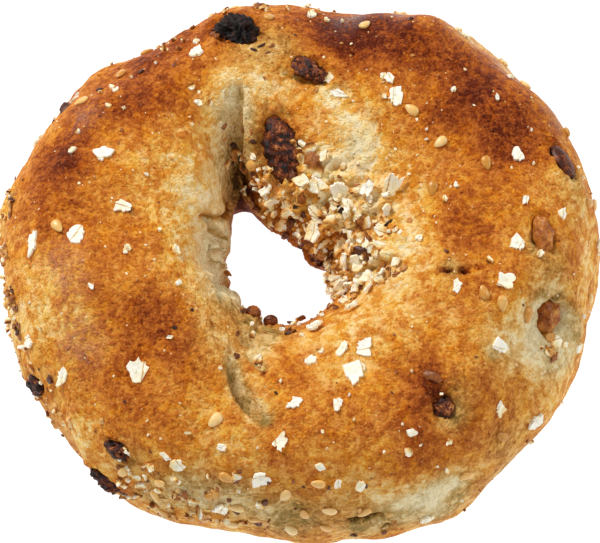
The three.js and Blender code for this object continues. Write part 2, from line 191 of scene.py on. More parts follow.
# How a fold moves the surface: into the dough, but never sideways across the fold
def foldMove(points, normals, fold):
    distance, share, isLeft, left = alongPath(points, fold["path"])
    width = np.where(isLeft, partWay(fold["left"], share), partWay(fold["right"], share))
    depth = partWay(fold["depth"], share) * np.exp(-(distance / width) ** fold["power"])
    depth = depth * smoothStep(points[..., 2], *fold["foot"])
    sideways = (normals * left).sum(-1, keepdims=True)
    return (left * sideways - normals) * depth[..., None]


# A soft round spot on a surface: ring and section angle in degrees, reach
def spotOn(surface, points, ringAngle, sectionAngle, reach):
    centre = surface(np.radians(ringAngle), np.radians(sectionAngle))
    return bell(np.linalg.norm(points - centre, axis=-1), reach)


def bumpHeight(points):
    return sum(height * spotOn(plainPoint, points, *spot) for *spot, height in bumps)


def swellHeight(points):
    total = np.zeros(points.shape[:-1])
    for wave in range(1, swell["waves"] + 1):
        length = swell["longest"] * swell["shrink"] ** (wave - 1)
        height = swell["height"] * swell["fade"] ** (wave - 1)
        run = points[..., 0] * math.cos(2.4 * wave) + points[..., 1] * math.sin(2.4 * wave)
        run = run + 0.8 * points[..., 2] * math.cos(1.7 * wave)
        total += height * np.sin(run * 2 * math.pi / length + 1.3 * wave ** 2)
    return total


def doughPoint(ringAngle, sectionAngle):
    points = plainPoint(ringAngle, sectionAngle)
    normals = normalOf(plainPoint, ringAngle, sectionAngle)
    rise = bumpHeight(points) + swellHeight(points) * smoothStep(points[..., 2], 0, 8)
    folded = sum(foldMove(points, normals, fold) for fold in folds.values())
    moved = points + normals * rise[..., None] + folded
    moved[..., 2] = np.maximum(moved[..., 2], 0)
    return moved


# Axes of a piece that lies on the crust: X along the ring before the turn, Z out of the dough
def seatAxes(up, ringAngle, turn):
    side = np.array([-math.sin(ringAngle), math.cos(ringAngle), 0])
    side = unit(side - up * side.dot(up))
    across = np.cross(up, side)
    c, s = math.cos(math.radians(turn)), math.sin(math.radians(turn))
    return np.array([side * c + across * s, across * c - side * s, up])


# Raisins, nuts and kernels: place, size, turn, share that stands out of the crust
inclusions = {
    "raisin_hole": {"at": (88, 130), "size": (12.4, 7.0, 5.0), "turn": 107, "proud": 0.24},
    "raisin_burnt": {"at": (104, 67), "size": (8.4, 6.0, 5.0), "turn": 149, "proud": 0.30},
    "raisin_crown": {"at": (83, 94), "size": (8.6, 4.0, 3.6), "turn": 167, "proud": 0.22},
    "raisin_pit": {"at": (309, 64), "size": (4.8, 4.0, 3.6), "turn": 30, "proud": 0.20},
    "raisin_rim": {"at": (231, 6), "size": (8.4, 3.8, 4.0), "turn": 0, "proud": 0.28},
    "raisin_left": {"at": (207, 12), "size": (5.2, 4.2, 3.8), "turn": 60, "proud": 0.30},
    "raisin_low": {"at": (231, 35), "size": (4.8, 2.8, 2.8), "turn": 175, "proud": 0.34},
    "kernel_side": {"at": (17, 56), "size": (8.4, 3.8, 2.8), "turn": 8, "proud": 0.30},
    "kernel_hole": {"at": (252, 158), "size": (3.8, 3.0, 3.0), "turn": 90, "proud": 0.77},
    "kernel_throat": {"at": (270, 161), "size": (3.0, 2.4, 2.4), "turn": 0, "proud": 0.90},
    "nut_low": {"at": (343, 41), "size": (7.0, 4.6, 4.2), "turn": 5, "proud": 0.34},
    "nut_high": {"at": (359, 69), "size": (7.0, 3.8, 3.8), "turn": 13, "proud": 0.34},
}
for piece in inclusions.values():
    at = np.radians(piece["at"])
    lift = piece["size"][2] * (piece["proud"] - 0.5)
    up = normalOf(doughPoint, *at)
    piece["axes"], piece["origin"] = seatAxes(up, at[0], piece["turn"]), doughPoint(*at) + up * lift

# The crust: a fine skin of the dough's form, with the relief that baking gives it
crust = {
    "around": 440,
    "section": 218,
    "topRows": 0.76,  # share of the rows between the two waists, over the crown
    "topFrom": -22,
    "topTo": 202,
    "waves": [(9.0, 0.18), (4.2, 0.20), (2.4, 0.15), (1.5, 0.11)],  # soft unevenness: size, height
    "crumb": [(3.4, 0.9), (1.5, 0.45)],
    "blisters": {"count": 90, "section": (0, 128), "reach": (0.7, 1.7), "height": (0.10, 0.28)},
    "pits": {"count": 60, "section": (0, 140), "reach": (0.45, 0.85), "height": (-0.2, -0.55)},
    "seatDip": 1.1,
    "seatLip": 0.5,
}
# Where the dough is torn and crumbly: ring angle, section angle, reach
crumblySpots = [
    (67, 149, 4.5), (39, 143, 5), (25, 132, 5), (7, 123, 4.5), (353, 129, 4), (346, 144, 4), (31, 159, 5),
    (82, 153, 4), (6, 148, 5), (339, 169, 4), (52, 150, 5), (100, 170, 4), (163, 167, 4), (180, 168, 4),
    (198, 166, 4), (214, 158, 4), (227, 148, 3.5), (346, 100, 2.5), (262, 122, 2.5), (250, 20, 4),
    (262, 14, 4), (243, 10, 4), (288, 10, 3), (170, 25, 4), (192, 20, 4), (343, 38, 3),
]
# Ledge of the dough over the recess in the left wall of the hole
ledge = {
    "ring": (150, 159, 165, 178, 192, 211, 220, 232),
    "section": (150, 144, 149, 149, 152, 138, 131, 129),
    "from": (148, 157),
    "to": (218, 236),
    "depth": 2.1,
    "width": 2.5,
    "fade": (30, 52),
}
# Lines that both the relief and the browning follow, as plan points
lapLip = [(5.4, 29.7), (7.8, 26.1), (12.4, 22.8), (13.9, 20.6), (12.6, 16.0)]
scallopLip = [(-13.9, -28.0), (-13.6, -30.4), (-12.4, -33.5), (-10.8, -35.9), (-8.8, -37.3)]
scallopRidge = [(-9.3, -28.8), (-8.2, -31.8), (-7.0, -34.0), (-5.9, -36.5)]
lowNutCleft = [(46.6, -13.0), (46.4, -15.6), (46.0, -18.0)]
highNutCleft = [(44.4, 0.8), (44.7, -1.7), (45.2, -4.0)]
# Tears, and raised rims where the depth is below 0: plan points, widths left and right of travel, depth
tears = [
    ([(-11.3, 31.0), (-11.5, 26.2), (-11.7, 22.7), (-11.9, 18.0), (-12.4, 11.0)], 0.45, 0.45, 1.0),  # joint
    ([(-12.3, 16.5), (-12.8, 9.0)], 1.2, 1.6, 1.2),
    ([(-9.9, 29.0), (-9.9, 22.0)], 0.6, 0.5, -0.35),
    ([(26.2, -8.8), (27.9, -8.8)], 0.6, 0.6, 1.5),  # cracks beyond the right corner
    ([(29.5, -9.0), (30.8, -9.4)], 0.6, 0.6, 1.6),
    ([(32.4, -8.5), (33.6, -8.4)], 0.45, 0.45, 1.0),
    ([(7.6, -6.3), (9.7, -6.2), (13.8, -5.5), (18.5, -6.2)], 0.6, 0.6, 1.6),  # right corner of the hole
    ([(-36.7, -21.6), (-35.0, -24.8), (-32.9, -28.0)], 0.35, 0.35, 0.4),  # fine cracks of the left dome
    ([(-9.2, -18.6), (-8.0, -20.6), (-7.2, -22.9)], 0.9, 0.9, 0.7),
    ([(-9.8, -23.2), (-8.1, -25.0), (-6.8, -26.9), (-6.4, -28.6)], 0.9, 0.8, 1.5),
    ([(17.0, 29.0), (19.5, 27.5), (21.5, 27.8)], 0.4, 0.4, 0.35),
    ([(-16.6, 33.2), (-15.0, 33.3)], 0.35, 0.35, 0.45),
    ([(24.0, -31.5), (24.6, -34.5), (25.4, -36.0)], 0.5, 0.5, 0.8),
    ([(-12.9, -24.0), (-12.6, -28.0), (-12.3, -30.2), (-11.1, -32.8), (-9.7, -34.9), (-8.2, -36.0),
      (-6.0, -37.4)], 2.3, 0.4, 2.1),  # scallop
    (scallopLip, 0.5, 0.7, -0.4),
    (scallopRidge, 0.8, 0.7, -0.6),
    (lapLip, 0.8, 0.8, -0.9),
    ([(6.6, 28.2), (11.2, 24.8), (14.2, 22.8), (15.4, 20.0), (15.0, 16.0)], 0.5, 1.0, 0.9),
    ([(42.1, -13.0), (44.5, -11.5), (48.3, -10.9), (51.3, -11.4), (52.2, -13.3), (51.8, -16.7)],
     0.9, 0.9, -0.7),  # round the lower nut
    (lowNutCleft, 1.0, 1.0, 1.6),
    ([(42.9, 1.9), (46.2, 1.1), (47.9, -0.2)], 0.6, 0.6, -0.6),  # round the upper nut
    (highNutCleft, 0.8, 0.8, 1.3),
    ([(-37.0, -42.0), (-33.2, -45.0), (-29.6, -46.6)], 0.8, 0.8, -0.6),
]
# Splits and pits in the steep sides: ring and section angles along them, width, depth, and how much painted
# shade darkens them
splits = [
    ([(159, 140), (154, 146), (146, 154), (131, 167), (122, 180)], 0.6, 1.5, 0.60),
    ([(159, 149), (154, 159), (149, 170)], 0.45, 1.0, 0.60),
    ([(171, 160), (173, 162)], 0.5, 0.8, 0.70),
    ([(167, 151), (169, 153)], 0.4, 0.6, 0.50),
    ([(196, 158), (203, 156)], 0.5, 0.6, 0.30),
    ([(280, 16), (283, 15), (286, 15)], 0.6, 1.1, 0.80),
    ([(287, 5), (288.5, 3)], 0.6, 0.8, 0.70),
    ([(277, 25), (277.6, 24)], 0.5, 0.7, 0.65),
]
# The torn, crumbly side of the hole: ring and section angles, fade, size and height of its lumps
tornSide = {
    "ring": (-32, 106),
    "section": (120, 200),
    "fade": 16,
    "lumps": [(3.6, 1.2), (1.8, 0.8), (0.9, 0.35)],
}


# Distance to a line of places on the dough
def nearLine(points, places):
    corners = [doughPoint(*np.radians(place)) for place in places]
    nearest = np.full(points.shape[:-1], np.inf)
    for start, end in zip(corners[:-1], corners[1:]):
        run = end - start
        share = np.clip(((points - start) @ run) / run.dot(run), 0, 1)
        nearest = np.minimum(nearest, np.linalg.norm(points - start - share[..., None] * run, axis=-1))
    return nearest


# Soft unevenness from rows of size and height
def noiseHeight(points, waves, seed):
    return sum(height * noiseAt(points, size, seed + k) for k, (size, height) in enumerate(waves))


# Rounded lumps with sharp creases between them
def lumpHeight(points, lumps, seed):
    total = 0
    for k, (size, height) in enumerate(lumps):
        total = total + height * (0.5 - 2 * np.abs(noiseAt(points, size, seed + k)))
    return total


def tornShare(ringAngle, sectionAngle):
    share, fade = 1.0, tornSide["fade"]
    for angle, (low, high) in ((ringAngle, tornSide["ring"]), (sectionAngle, tornSide["section"])):
        degrees = (np.degrees(angle) + 120) % 360 - 120
        share = share * smoothStep(degrees, low, low + fade) * (1 - smoothStep(degrees, high - fade, high))
    return share


def tornLumps(points):
    return lumpHeight(points, tornSide["lumps"], noiseSeeds["tornSide"])


def sectionRows():
    share = np.arange(crust["section"]) / crust["section"]
    ends = (crust["topFrom"], crust["topTo"], crust["topFrom"] + 360)
    return np.radians(np.interp(share, (0, crust["topRows"], 1), ends))


def spotMask(points, spots):
    return np.clip(sum(spotOn(doughPoint, points, *spot) for spot in spots), 0, 1)


# Distance from the middle of a raisin or nut, 1 at its skin
def reachOf(points, piece):
    local = (points - piece["origin"]) @ piece["axes"].T
    return np.linalg.norm(local / (np.array(piece["size"]) / 2), axis=-1)


def seatRelief(points):
    total = np.zeros(points.shape[:-1])
    ragged = noiseAt(points, 1.6, noiseSeeds["seats"])
    for piece in inclusions.values():
        reach = reachOf(points, piece) + 0.5 * ragged
        total -= crust["seatDip"] * np.exp(-(reach / 1.2) ** 6)
        total += crust["seatLip"] * bell(reach - 1.55, 0.25) * (0.6 + 1.5 * ragged)
    return total


# How close the crust is to the rim of a raisin or nut, where it lies in shade
def seatShade(points):
    return np.clip(sum(np.exp(-(reachOf(points, piece) / 1.3) ** 6) for piece in inclusions.values()), 0, 1)


def spotRelief(points, draw, kind):
    total = 0
    for k in range(kind["count"]):
        at = (draw.between(0, 360), draw.between(*kind["section"]))
        height, reach = draw.between(*kind["height"]), draw.between(*kind["reach"])
        total = total + height * spotOn(doughPoint, points, *at, reach)
    return total


# Where the wall of the hole lies back under its ledge
def ledgeShare(points, ringAngle, sectionAngle):
    degrees = np.degrees(ringAngle) % 360
    edge = np.interp(degrees, ledge["ring"], ledge["section"])
    past = np.degrees(sectionAngle) - edge - 6 * noiseAt(points, 2.6, noiseSeeds["ledge"])
    ends = smoothStep(degrees, *ledge["from"]) * (1 - smoothStep(degrees, *ledge["to"]))
    return smoothStep(past, 0, ledge["width"]) * (1 - smoothStep(past, *ledge["fade"])) * ends


def tearDepth(points):
    total = 0
    for path, leftWidth, rightWidth, depth in tears:
        distance, share, isLeft = alongPath(points, path)[:3]
        width = np.where(isLeft, leftWidth, rightWidth)
        total = total + depth * bell(distance, width) * np.sin(np.pi * np.clip(share, 0.08, 0.92))
    return total * smoothStep(points[..., 2], 13, 19)


def crustRelief(points, ringAngle, sectionAngle, crumbly):
    total = noiseHeight(points, crust["waves"], noiseSeeds["waves"])
    total += crumbly * lumpHeight(points, crust["crumb"], noiseSeeds["tornCrumb"]) - tearDepth(points)
    draw = Draw(drawSeeds["relief"])
    total += spotRelief(points, draw, crust["blisters"]) + spotRelief(points, draw, crust["pits"])
    total -= sum(depth * bell(nearLine(points, places), width) for places, width, depth, paintedShade in splits)
    total += seatRelief(points) - ledge["depth"] * ledgeShare(points, ringAngle, sectionAngle)
    total += tornShare(ringAngle, sectionAngle) * tornLumps(points)
    return total * smoothStep(points[..., 2], 0, 1.5)


ringAngles, sectionAngles = np.meshgrid(
    np.arange(crust["around"]) / crust["around"] * 2 * np.pi, sectionRows(), indexing="ij")
formPoints = doughPoint(ringAngles, sectionAngles)
formNormals = normalOf(doughPoint, ringAngles, sectionAngles)
crumbly = spotMask(formPoints, crumblySpots)
relief = crustRelief(formPoints, ringAngles, sectionAngles, crumbly)
crustPoints = formPoints + formNormals * relief[..., None]
crustPoints[..., 2] = np.maximum(crustPoints[..., 2], 0)
crustNormals = unit(np.cross(np.roll(crustPoints, -1, 0) - np.roll(crustPoints, 1, 0),
                             np.roll(crustPoints, -1, 1) - np.roll(crustPoints, 1, 1)))
print("crust: form and relief worked out")


# Point and normal of the finished crust at a ring and section angle in degrees
def crustAt(ringAngle, sectionAngle):
    column = (ringAngle / 360 * crust["around"]) % crust["around"]
    section = (sectionAngle - crust["topFrom"]) % 360 + crust["topFrom"]
    rows = np.append(np.degrees(sectionRows()), crust["topFrom"] + 360)
    row = np.interp(section, rows, np.arange(crust["section"] + 1))
    i, j = int(column), int(row)
    a, b = column - i, row - j
    point, normal = np.zeros(3), np.zeros(3)
    for k, m, share in ((0, 0, (1 - a) * (1 - b)), (1, 0, a * (1 - b)), (0, 1, (1 - a) * b), (1, 1, a * b)):
        corner = ((i + k) % crust["around"], (j + m) % crust["section"])
        point += crustPoints[corner] * share
        normal += crustNormals[corner] * share
    return point, unit(normal)


# Browning: 0 is pale crumb, 1 is nearly black. It follows the section, then single spots. From section 188
# to 226, low in the hole, the high values are painted shade against the light that the floor throws up into
# the hole.
browningAndShade = {
    "section": (-60, -25, 0, 25, 50, 80, 105, 128, 150, 170, 188, 206, 226, 245, 300),
    "bakeAndShade": (0.50, 0.36, 0.38, 0.44, 0.52, 0.50, 0.42, 0.30, 0.24, 0.29, 0.46, 0.86, 0.84, 0.50, 0.50),
    "patches": [(14, 0.10), (5.5, 0.10)],
    "raised": 0.10,
    "crumbly": -0.10,
    # seats: painted shade, browner crust round the rims of raisins and nuts
    "seats": 0.22,
    "torn": -0.04,
    "tornLumps": -0.24,
}
# Browner and paler spots, by the band they lie in: ring angle, section angle, reach, amount. The browner
# spots low in the throat are painted shade.
bakeAndShadeSpots = {
    "outerWall": [
        (30, 32, 5, -0.10), (146, 16, 6, 0.20), (194, 7, 8, -0.10), (222, 25, 6, -0.12),
        (241, 30, 6, -0.12), (250, 28, 7, -0.22), (262, 32, 6, -0.08), (285, 25, 3.5, -0.12),
        (291, 27, 4, -0.20), (296, 12, 6, -0.10), (297, 24, 4.5, -0.24), (299, 14, 4, -0.15),
        (300, 12, 1.6, 0.20), (303, 22, 4.5, -0.24), (303, 12, 1.6, 0.20), (306, 12, 1.6, 0.20),
        (322, 20, 6, -0.12), (335, 18, 6, -0.12), (359, 30, 8, -0.14),
    ],
    "shoulder": [
        (3, 46, 5, -0.08), (12, 52, 5, -0.14), (12, 48, 4, -0.10), (42, 36, 5, -0.14), (44, 60, 5, 0.16),
        (54, 41, 5, -0.14), (66, 44, 4.5, -0.14), (78, 66, 8, 0.26), (90, 52, 9, 0.10), (118, 38, 6, 0.22),
        (130, 48, 7, 0.28), (150, 70, 7, 0.14), (158, 46, 5, -0.10), (160, 55, 6, 0.30), (166, 66, 5, 0.24),
        (184, 66, 6, 0.14), (192, 50, 7, -0.14), (203, 62, 9, -0.16), (215, 40, 5, 0.06),
        (225, 60, 6, 0.05), (234, 64, 6, 0.06), (253, 68, 7, -0.14), (280, 50, 8, -0.10),
        (300, 55, 6, 0.10), (300, 42, 5, 0.10), (309, 61, 3.5, -0.24), (310, 71, 2.2, 0.30),
        (316, 50, 6, 0.06), (325, 40, 5, 0.10), (330, 38, 5, -0.10), (332, 61, 6, -0.16),
        (337, 44, 7, -0.26), (343, 45, 7, -0.14), (345, 55, 6, -0.14),
    ],
    "crown": [
        (2, 101, 9, 0.28), (20, 92, 8, 0.12), (28, 76, 8, 0.24), (41, 84, 9, 0.32), (45, 103, 6, 0.14),
        (56, 80, 8, 0.20), (69, 77, 10, 0.34), (70, 98, 5, 0.08), (84, 103, 5, -0.16), (88, 104, 5, 0.08),
        (95, 90, 8, -0.18), (108, 103, 6, -0.28), (126, 81, 8, 0.20), (137, 81, 6, 0.18),
        (192, 106, 6, 0.18), (199, 82, 8, 0.10), (218, 92, 9, 0.22), (230, 98, 7, 0.16),
        (248, 104, 4, 0.12), (248, 106, 4, -0.12), (275, 92, 6, 0.05), (287, 84, 9, 0.06),
        (293, 98, 6, -0.08), (303, 80, 5, 0.08), (312, 80, 6, 0.10), (312, 79, 2.5, 0.25),
        (328, 80, 6, -0.10), (346, 98, 7, 0.12), (353, 88, 6, -0.04), (358, 76, 5, -0.16),
    ],
    "holeSide": [
        (8, 133, 4, 0.20), (8, 120, 5, -0.12), (33, 108, 5, 0.08), (38, 120, 5, -0.12), (44, 115, 6, 0.12),
        (53, 127, 6, -0.24), (57, 128, 3.0, -0.10), (60, 127, 1.6, 0.25), (65, 111, 6, -0.28),
        (82, 114, 6, 0.10), (96, 119, 5, 0.10), (110, 108, 4, -0.08), (148, 122, 8, -0.18),
        (190, 129, 8, -0.10), (208, 108, 7, -0.06), (239, 113, 6, -0.10), (246, 141, 5, 0.26),
        (251, 112, 5, -0.06), (348, 125, 6, -0.10), (352, 118, 7, -0.20),
    ],
    # Low in the hole the browner spots are painted shade, deep in the throat and in the crease's corner; the
    # paler ones are cream wall
    "throat": [
        (30, 184, 5, 0.15), (60, 165, 5, 0.26), (60, 182, 5, 0.15), (64, 146, 4, 0.14), (92, 178, 3, 0.25),
        (99, 162, 6, 0.26), (104, 174, 2.8, 0.42), (110, 168, 2.4, 0.34), (112, 177, 2.4, 0.30),
        (128, 166, 2.5, 0.35), (150, 153, 4, 0.15), (165, 165, 7, -0.20), (190, 165, 7, -0.20),
        (218, 156, 6, -0.16), (275, 148, 6, 0.20), (300, 158, 6, 0.22), (355, 180, 4, 0.15),
        (358, 164, 7, 0.34),
    ],
}
# The same along lines: plan points, width, amount. The browner lines in the joint, the lap's fold, the
# scallop, the cracks, the hole's right corner and the clefts beside the nuts are painted shade in those
# hollows; the paler line on the scallop's lip is a painted highlight.
bakeAndShadeLines = [
    # Painted shade down the joint's crease
    ([(-11.3, 29.4), (-11.5, 26.2), (-11.7, 22.7), (-11.9, 19.0)], 0.45, 0.28),
    ([(-10.2, 29.0), (-10.3, 22.0)], 0.7, -0.12),
    (lapLip, 1.5, -0.26),
    # Painted shade in the groove beside the lap's lip
    ([(6.6, 28.2), (11.2, 24.8), (14.4, 22.8), (15.6, 20.0)], 0.8, 0.20),
    # Painted highlight along the scallop's lip
    (scallopLip, 0.6, -0.16),
    # Painted shade on the scallop's floor
    ([(-12.6, -26.5), (-12.3, -30.0), (-11.1, -32.6), (-9.6, -34.7), (-8.0, -36.0), (-6.5, -37.1)],
     0.7, 0.12),
    (scallopRidge, 0.9, -0.24),
    # Painted shade in the crack beside the scallop and at its end
    ([(-10.2, -23.6), (-9.6, -25.5), (-9.2, -27.3)], 0.6, 0.20),
    ([(-6.7, -27.6), (-6.6, -28.2)], 0.45, 0.50),
    # Painted shade in the cracks beyond the right corner
    ([(26.4, -8.8), (27.7, -8.8)], 0.55, 0.80),
    ([(29.7, -9.1), (30.6, -9.3)], 0.6, 0.80),
    ([(32.6, -8.5), (33.4, -8.4)], 0.4, 0.70),
    ([(26.4, -9.9), (30.0, -10.4), (33.4, -9.5)], 0.6, -0.14),
    # Painted shade under the fold at the hole's right corner
    ([(12.6, -6.4), (16.5, -5.4), (19.5, -6.0)], 0.8, 0.25),
    ([(42.1, -13.0), (44.5, -11.5), (48.3, -10.9), (51.3, -11.4)], 0.7, 0.16),
    # Painted shade in the clefts beside the two nuts
    (lowNutCleft, 0.8, 0.35),
    (highNutCleft, 0.6, 0.30),
]
# Dull, olive and floury places. At the foot of the joint, at (117, 177), the olive is painted shade.
dampAndShadeSpots = [
    (114, 138, 6), (108, 114, 4), (246, 30, 5), (256, 29, 5), (268, 19, 4), (298, 11, 6), (315, 345, 8),
    (117, 177, 6), (165, 164, 7), (190, 166, 7), (218, 156, 6), (225, 138, 5), (346, 101, 2.0),
    (345, 50, 4), (335, 39, 4), (340, 28, 5), (309, 60, 2.8), (113, 150, 3.5), (109, 132, 3),
    (106, 116, 2.5), (123, 146, 3.5), (258, 136, 3), (262, 121, 2), (286, 8, 4), (53, 124, 3),
    (263, 142, 3.5), (290, 18, 4), (300, 15, 5), (282, 10, 3), (343, 48, 4), (337, 34, 5), (342, 27, 4),
    (356, 71, 2.2), (327, 68, 1.6), (240, 14, 3), (112, 140, 4), (110, 124, 3),
]
# Olive lines along the floors of the scallop and of the small scallop and down the joint's left flank: moist
# dough, and painted shade in those hollows
dampAndShadeLines = [
    ([(-12.3, -26.0), (-11.7, -30.0), (-10.5, -32.4), (-9.2, -34.3), (-7.9, -35.9), (-6.5, -37.1)], 1.5),
    ([(-9.6, -23.6), (-8.1, -25.0), (-6.8, -26.9)], 0.9),
    ([(-12.4, 29.0), (-13.2, 24.0), (-13.6, 18.0)], 1.6),
]
# Half as dull
mellowSpots = [
    (270, 15, 7), (262, 8, 6), (280, 24, 6), (296, 24, 5), (100, 84, 5), (93, 80, 4), (240, 113, 5),
    (12, 52, 4), (330, 60, 6), (352, 60, 4), (315, 25, 6), (262, 146, 5), (313, 66, 4), (234, 34, 4),
    (150, 150, 6),
]
# Where the skin baked shiny
glossSpots = [
    (195, 71, 4), (190, 70, 3.5), (187, 67, 3), (211, 58, 4), (206, 62, 3.5), (66, 46, 4.5), (54, 43, 5),
    (42, 38, 5), (78, 50, 4), (30, 34, 5), (150, 62, 3),
]


def bakeAndShadeOf(points, ringAngle, sectionAngle, relief, crumbly):
    degrees = np.degrees(sectionAngle)
    bakeAndShade = np.interp((degrees + 60) % 360 - 60, browningAndShade["section"], browningAndShade["bakeAndShade"])
    # Browning, with painted shade from the spots low in the throat
    for *spot, amount in sum(bakeAndShadeSpots.values(), []):
        bakeAndShade = bakeAndShade + amount * spotOn(doughPoint, points, *spot)
    # Browning along lines, with painted shade in hollows and a painted highlight on the scallop's lip
    for path, width, amount in bakeAndShadeLines:
        bakeAndShade = bakeAndShade + amount * bell(alongPath(points, path)[0], width) * smoothStep(points[..., 2], 8, 16)
    bakeAndShade = bakeAndShade + noiseHeight(points, browningAndShade["patches"], noiseSeeds["patches"])
    # Painted shade in the splits and pits
    for places, width, depth, paintedShade in splits:
        bakeAndShade = bakeAndShade + paintedShade * bell(nearLine(points, places), 0.8 * width)
    bakeAndShade = bakeAndShade + browningAndShade["raised"] * relief + browningAndShade["crumbly"] * crumbly
    # Painted shade round the rims of the raisins and nuts
    bakeAndShade = bakeAndShade + browningAndShade["seats"] * seatShade(points)
    torn = browningAndShade["torn"] + browningAndShade["tornLumps"] * tornLumps(points)
    return np.clip(bakeAndShade + tornShare(ringAngle, sectionAngle) * torn, 0, 1)


def dampAndShadeOf(points, ringAngle, sectionAngle):
    dampAndShade = spotMask(points, dampAndShadeSpots) + 0.5 * spotMask(points, mellowSpots)
    lines = sum(bell(alongPath(points, path)[0], width) for path, width in dampAndShadeLines)
    dampAndShade = dampAndShade + 1.3 * lines * smoothStep(points[..., 2], 4, 10)
    # Olive in the recess under the ledge, partly for its dull dough and partly as painted shade
    return np.clip(dampAndShade + 0.8 * ledgeShare(points, ringAngle, sectionAngle), 0, 1)


bakeAndShade = bakeAndShadeOf(formPoints, ringAngles, sectionAngles, relief, crumbly)
dampAndShade = dampAndShadeOf(formPoints, ringAngles, sectionAngles)
gloss = spotMask(formPoints, glossSpots)
patchEdge = 0.04 + 0.12 * bell(bakeAndShade - 0.32, 0.12)  # patches of skin show most between pale and brown


# Meshes

def toFrame(points):
    moved = np.array(points, float).reshape(-1, 3)
    moved[:, :2] += ring["centre"]
    return moved * mm


# A crease angle in degrees keeps edges sharper than it crisp
def meshPiece(name, points, faces, finish, marks=None, crease=None):
    mesh = bpy.data.meshes.new(name)
    mesh.from_pydata(toFrame(points).tolist(), [], [tuple(face) for face in faces])
    mesh.polygons.foreach_set("use_smooth", np.full(len(mesh.polygons), True))
    if crease is not None:
        mesh.set_sharp_from_angle(angle=math.radians(crease))
    for mark, values in (marks or {}).items():
        layer = mesh.attributes.new(mark, "FLOAT", "POINT")
        layer.data.foreach_set("value", np.ravel(values).astype(np.float32))
    mesh.materials.append(finish)
    mesh.update()
    piece = bpy.data.objects.new(name, mesh)
    bpy.context.scene.collection.objects.link(piece)
    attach(piece, "root")
    return piece


def ringFaces(columns, rows):
    corner = np.arange(columns * rows).reshape(columns, rows)
    nextColumn, nextRow = np.roll(corner, -1, 0), np.roll(corner, -1, 1)
    both = np.roll(nextColumn, -1, 1)
    return np.stack([corner, nextColumn, both, nextRow], -1).reshape(-1, 4).tolist()


# Many small pieces of one kind, joined into one mesh
class Heap:
    def __init__(self):
        self.points, self.faces, self.marks, self.count = [], [], {}, 0

    def add(self, points, faces, **marks):
        self.faces.extend(tuple(np.add(face, self.count).tolist()) for face in faces)
        self.points.append(points)
        for mark, values in marks.items():
            self.marks.setdefault(mark, []).append(np.broadcast_to(values, len(points)))
        self.count += len(points)

    def make(self, name, finish, slot, crease=None):
        marks = {mark: np.concatenate(values) for mark, values in self.marks.items()}
        print(name + ":", len(self.points), "pieces,", len(self.faces), "faces")
        return meshPiece(name, np.concatenate(self.points), self.faces, finish, marks, crease)


def icoBall(splits):
    ball = bmesh.new()
    bmesh.ops.create_icosphere(ball, subdivisions=splits, radius=1)
    points = np.array([vertex.co[:] for vertex in ball.verts])
    faces = [[vertex.index for vertex in face.verts] for face in ball.faces]
    ball.free()
    return points, faces


# Shader values: sums written on a Wire add their Math nodes
class Wire:
    def __init__(self, finish, socket):
        self.finish, self.socket = finish, socket

    def math(self, operation, first, second):
        return self.finish.add("ShaderNodeMath", {"operation": operation}, {0: first, 1: second})

    def __add__(self, other):
        return self.math("ADD", self, other)

    def __sub__(self, other):
        return self.math("SUBTRACT", self, other)

    def __rsub__(self, other):
        return self.math("SUBTRACT", other, self)

    def __mul__(self, other):
        return self.math("MULTIPLY", self, other)

    def __pow__(self, other):
        return self.math("POWER", self, other)

    __radd__, __rmul__ = __add__, __mul__


def colour(code):
    values = [int(code[k:k + 2], 16) / 255 for k in (1, 3, 5)]
    return [v / 12.92 if v <= 0.04045 else ((v + 0.055) / 1.055) ** 2.4 for v in values] + [1.0]


class Finish:
    def __init__(self, name):
        self.material = bpy.data.materials.new(name)
        self.material.use_nodes = True
        self.tree = self.material.node_tree
        self.tree.nodes.clear()
        self.place = self.add("ShaderNodeTexCoord", out="Object")

    def add(self, kind, settings=None, sockets=None, out=0):
        node = self.tree.nodes.new(kind)
        for name, value in (settings or {}).items():
            if name == "stops":
                ramp = node.color_ramp
                for k, (position, code) in enumerate(value):
                    stop = ramp.elements[k] if k < 2 else ramp.elements.new(position)
                    stop.position, stop.color = position, colour(code)
            else:
                setattr(node, name, value)
        for name, value in (sockets or {}).items():
            if isinstance(value, Wire):
                self.tree.links.new(value.socket, node.inputs[name])
            else:
                node.inputs[name].default_value = value
        return Wire(self, node.outputs[out])

    def mark(self, name):
        return self.add("ShaderNodeAttribute", {"attribute_name": name}, out="Fac")

    def noise(self, size, detail=3.0, rough=0.55, swirl=0.0):
        sockets = {"Vector": self.place, "Scale": 1 / (size * mm), "Detail": detail, "Roughness": rough,
                   "Distortion": swirl}
        return self.add("ShaderNodeTexNoise", {}, sockets, "Fac")

    def cells(self, size):
        sockets = {"Vector": self.place, "Scale": 1 / (size * mm)}
        return self.add("ShaderNodeTexVoronoi", {"feature": "F1"}, sockets, "Distance")

    def fade(self, value, low, high):
        settings = {"interpolation_type": "SMOOTHSTEP"}
        return self.add("ShaderNodeMapRange", settings, {0: value, 1: low, 2: high})

    def ramp(self, value, stops):
        return self.add("ShaderNodeValToRGB", {"stops": stops}, {0: value})

    def mix(self, share, first, second):
        return self.add("ShaderNodeMix", {"data_type": "RGBA"}, {0: share, 6: first, 7: second}, 2)

    def bump(self, height, depth, strength):
        sockets = {"Height": height, "Distance": depth * mm, "Strength": strength}
        return self.add("ShaderNodeBump", {}, sockets)

    def surface(self, **sockets):
        names = {name.replace("_", " "): value for name, value in sockets.items()}
        return self.add("ShaderNodeBsdfPrincipled", {}, names)

    def close(self, surface):
        output = self.tree.nodes.new("ShaderNodeOutputMaterial")
        self.tree.links.new(surface.socket, output.inputs["Surface"])
        return self.material

    def done(self, **sockets):
        return self.close(self.surface(**sockets))


